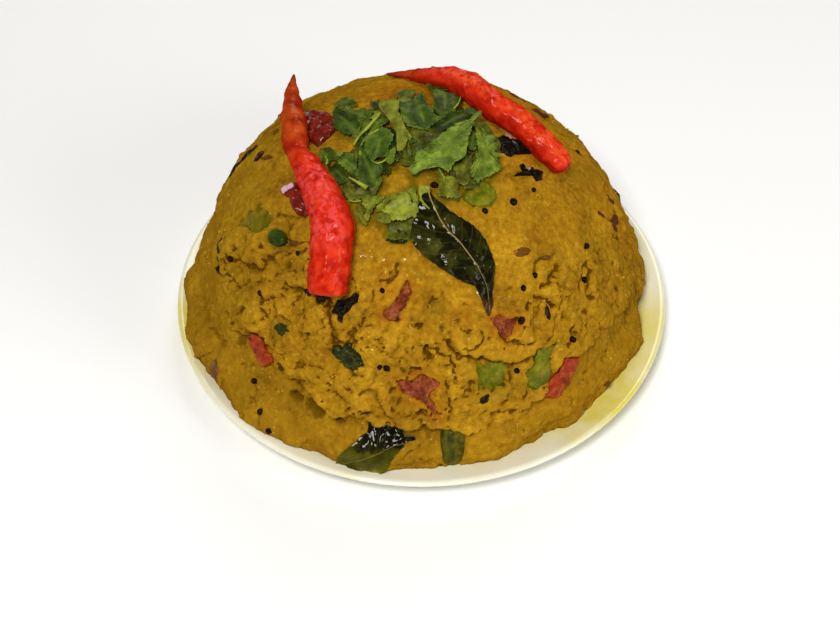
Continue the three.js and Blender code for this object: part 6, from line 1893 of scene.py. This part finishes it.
# The charred leaf's pale spots are partly painted glints; the dried chillies' pale lilac patches are painted glints
# where the shiny skin would catch the light.
CHAR_PALE_SPOTS = veg_material("charred_leaf_pale_spots", (0.0015, 0.0010, 0.0006, 1), (0.0045, 0.0028, 0.0012, 1), (0.020, 0.011, 0.0035, 1), 0.35,
                       pale_spots=(0.360, 0.200, 0.110, 1))
DRIED_CHILLI_GLINTS = veg_material("dried_chilli_painted_glint", (0.050, 0.002, 0.0010, 1), (0.140, 0.007, 0.002, 1), (0.230, 0.020, 0.005, 1), 0.9,
                         size=2.4, pale_spots=(0.640, 0.400, 0.480, 1))
OWN = {"charred_leaf_right": CHAR_PALE_SPOTS, "charred_bit_right": CHAR_PALE_SPOTS, "dried_chilli_left": DRIED_CHILLI_GLINTS, "dried_chilli_top": DRIED_CHILLI_GLINTS,
       "green_pepper_left": veg_material("green_pepper_soft", (0.060, 0.062, 0.0012, 1), (0.105, 0.100, 0.0020, 1),
                                         (0.180, 0.150, 0.0040, 1), 0.20, size=2.6, film=0.55, film_edge=(0.36, 0.80))}
SLOT = {"charred_leaf": "charred_leaf", "leaf_bit": "curry_leaf"}
for i, (name, spec) in enumerate(BEDDED.items()):
    make = build_outlined if name in OUTLINES else build_bedded
    place(make(name, i + 1), OWN.get(name, VEG[spec[-1]]), SLOT.get(spec[-1], spec[-1]), name)
for i, (name, slot) in enumerate((("pea_left", "green_bean"), ("charred_bit_right", "charred_leaf"), ("leaf_bit_top", "curry_leaf"))):
    place(build_outlined(name, i + 31), OWN.get(name, VEG[OUTLINES[name][4]]), slot, name)
place(build_plate(), plate_material(), "ceramic", "plate")

# ---- Floor, light and camera ----------------------------------------------------------------------
floor = make_object("floor", [(-3000, -3000, 0), (3000, -3000, 0), (3000, 3000, 0), (-3000, 3000, 0)], [(0, 1, 2, 3)])
n = Nodes("floor_white")
n.set(Base_Color=(0.90, 0.90, 0.90, 1), Roughness=0.85)
floor.data.materials.append(n.m)

world = bpy.data.worlds.new("studio")
scene.world = world
world.use_nodes = True
world.node_tree.nodes["Background"].inputs[0].default_value = (1.0, 0.99, 0.97, 1)
world.node_tree.nodes["Background"].inputs[1].default_value = 0.20


def area(name, place_, target, size, watts, colour=(1, 1, 1)):
    light = bpy.data.lights.new(name, "AREA")
    light.shape = "DISK"
    light.size = size
    light.energy = watts
    light.color = colour
    o = bpy.data.objects.new(name, light)
    o.location = place_
    from mathutils import Vector

    o.rotation_euler = (Vector(target) - Vector(place_)).to_track_quat("-Z", "Y").to_euler()
    scene.collection.objects.link(o)
    return o


area("key", (-0.13, -0.42, 0.68), (0, 0, 0.03), 0.24, 5.15, (1.0, 0.985, 0.95))
area("fill", (0.62, -0.36, 0.40), (0, 0, 0.03), 0.40, 2.15, (1.0, 1.0, 0.98))
area("back", (0.10, 0.62, 0.55), (0, 0, 0.03), 0.40, 1.6, (0.98, 0.99, 1.0))

cam = bpy.data.cameras.new("camera")
cam.sensor_width = 36
cam.lens = 77.0
cam.clip_start = 0.01
view = bpy.data.objects.new("camera", cam)
view.location = (-0.00031, -0.285649, 0.314381)
view.rotation_euler = (math.atan2(0.66965, 0.74268), 0, 0)
scene.collection.objects.link(view)
scene.camera = view
scene.view_settings.view_transform = "Standard"
scene.view_settings.look = "None"
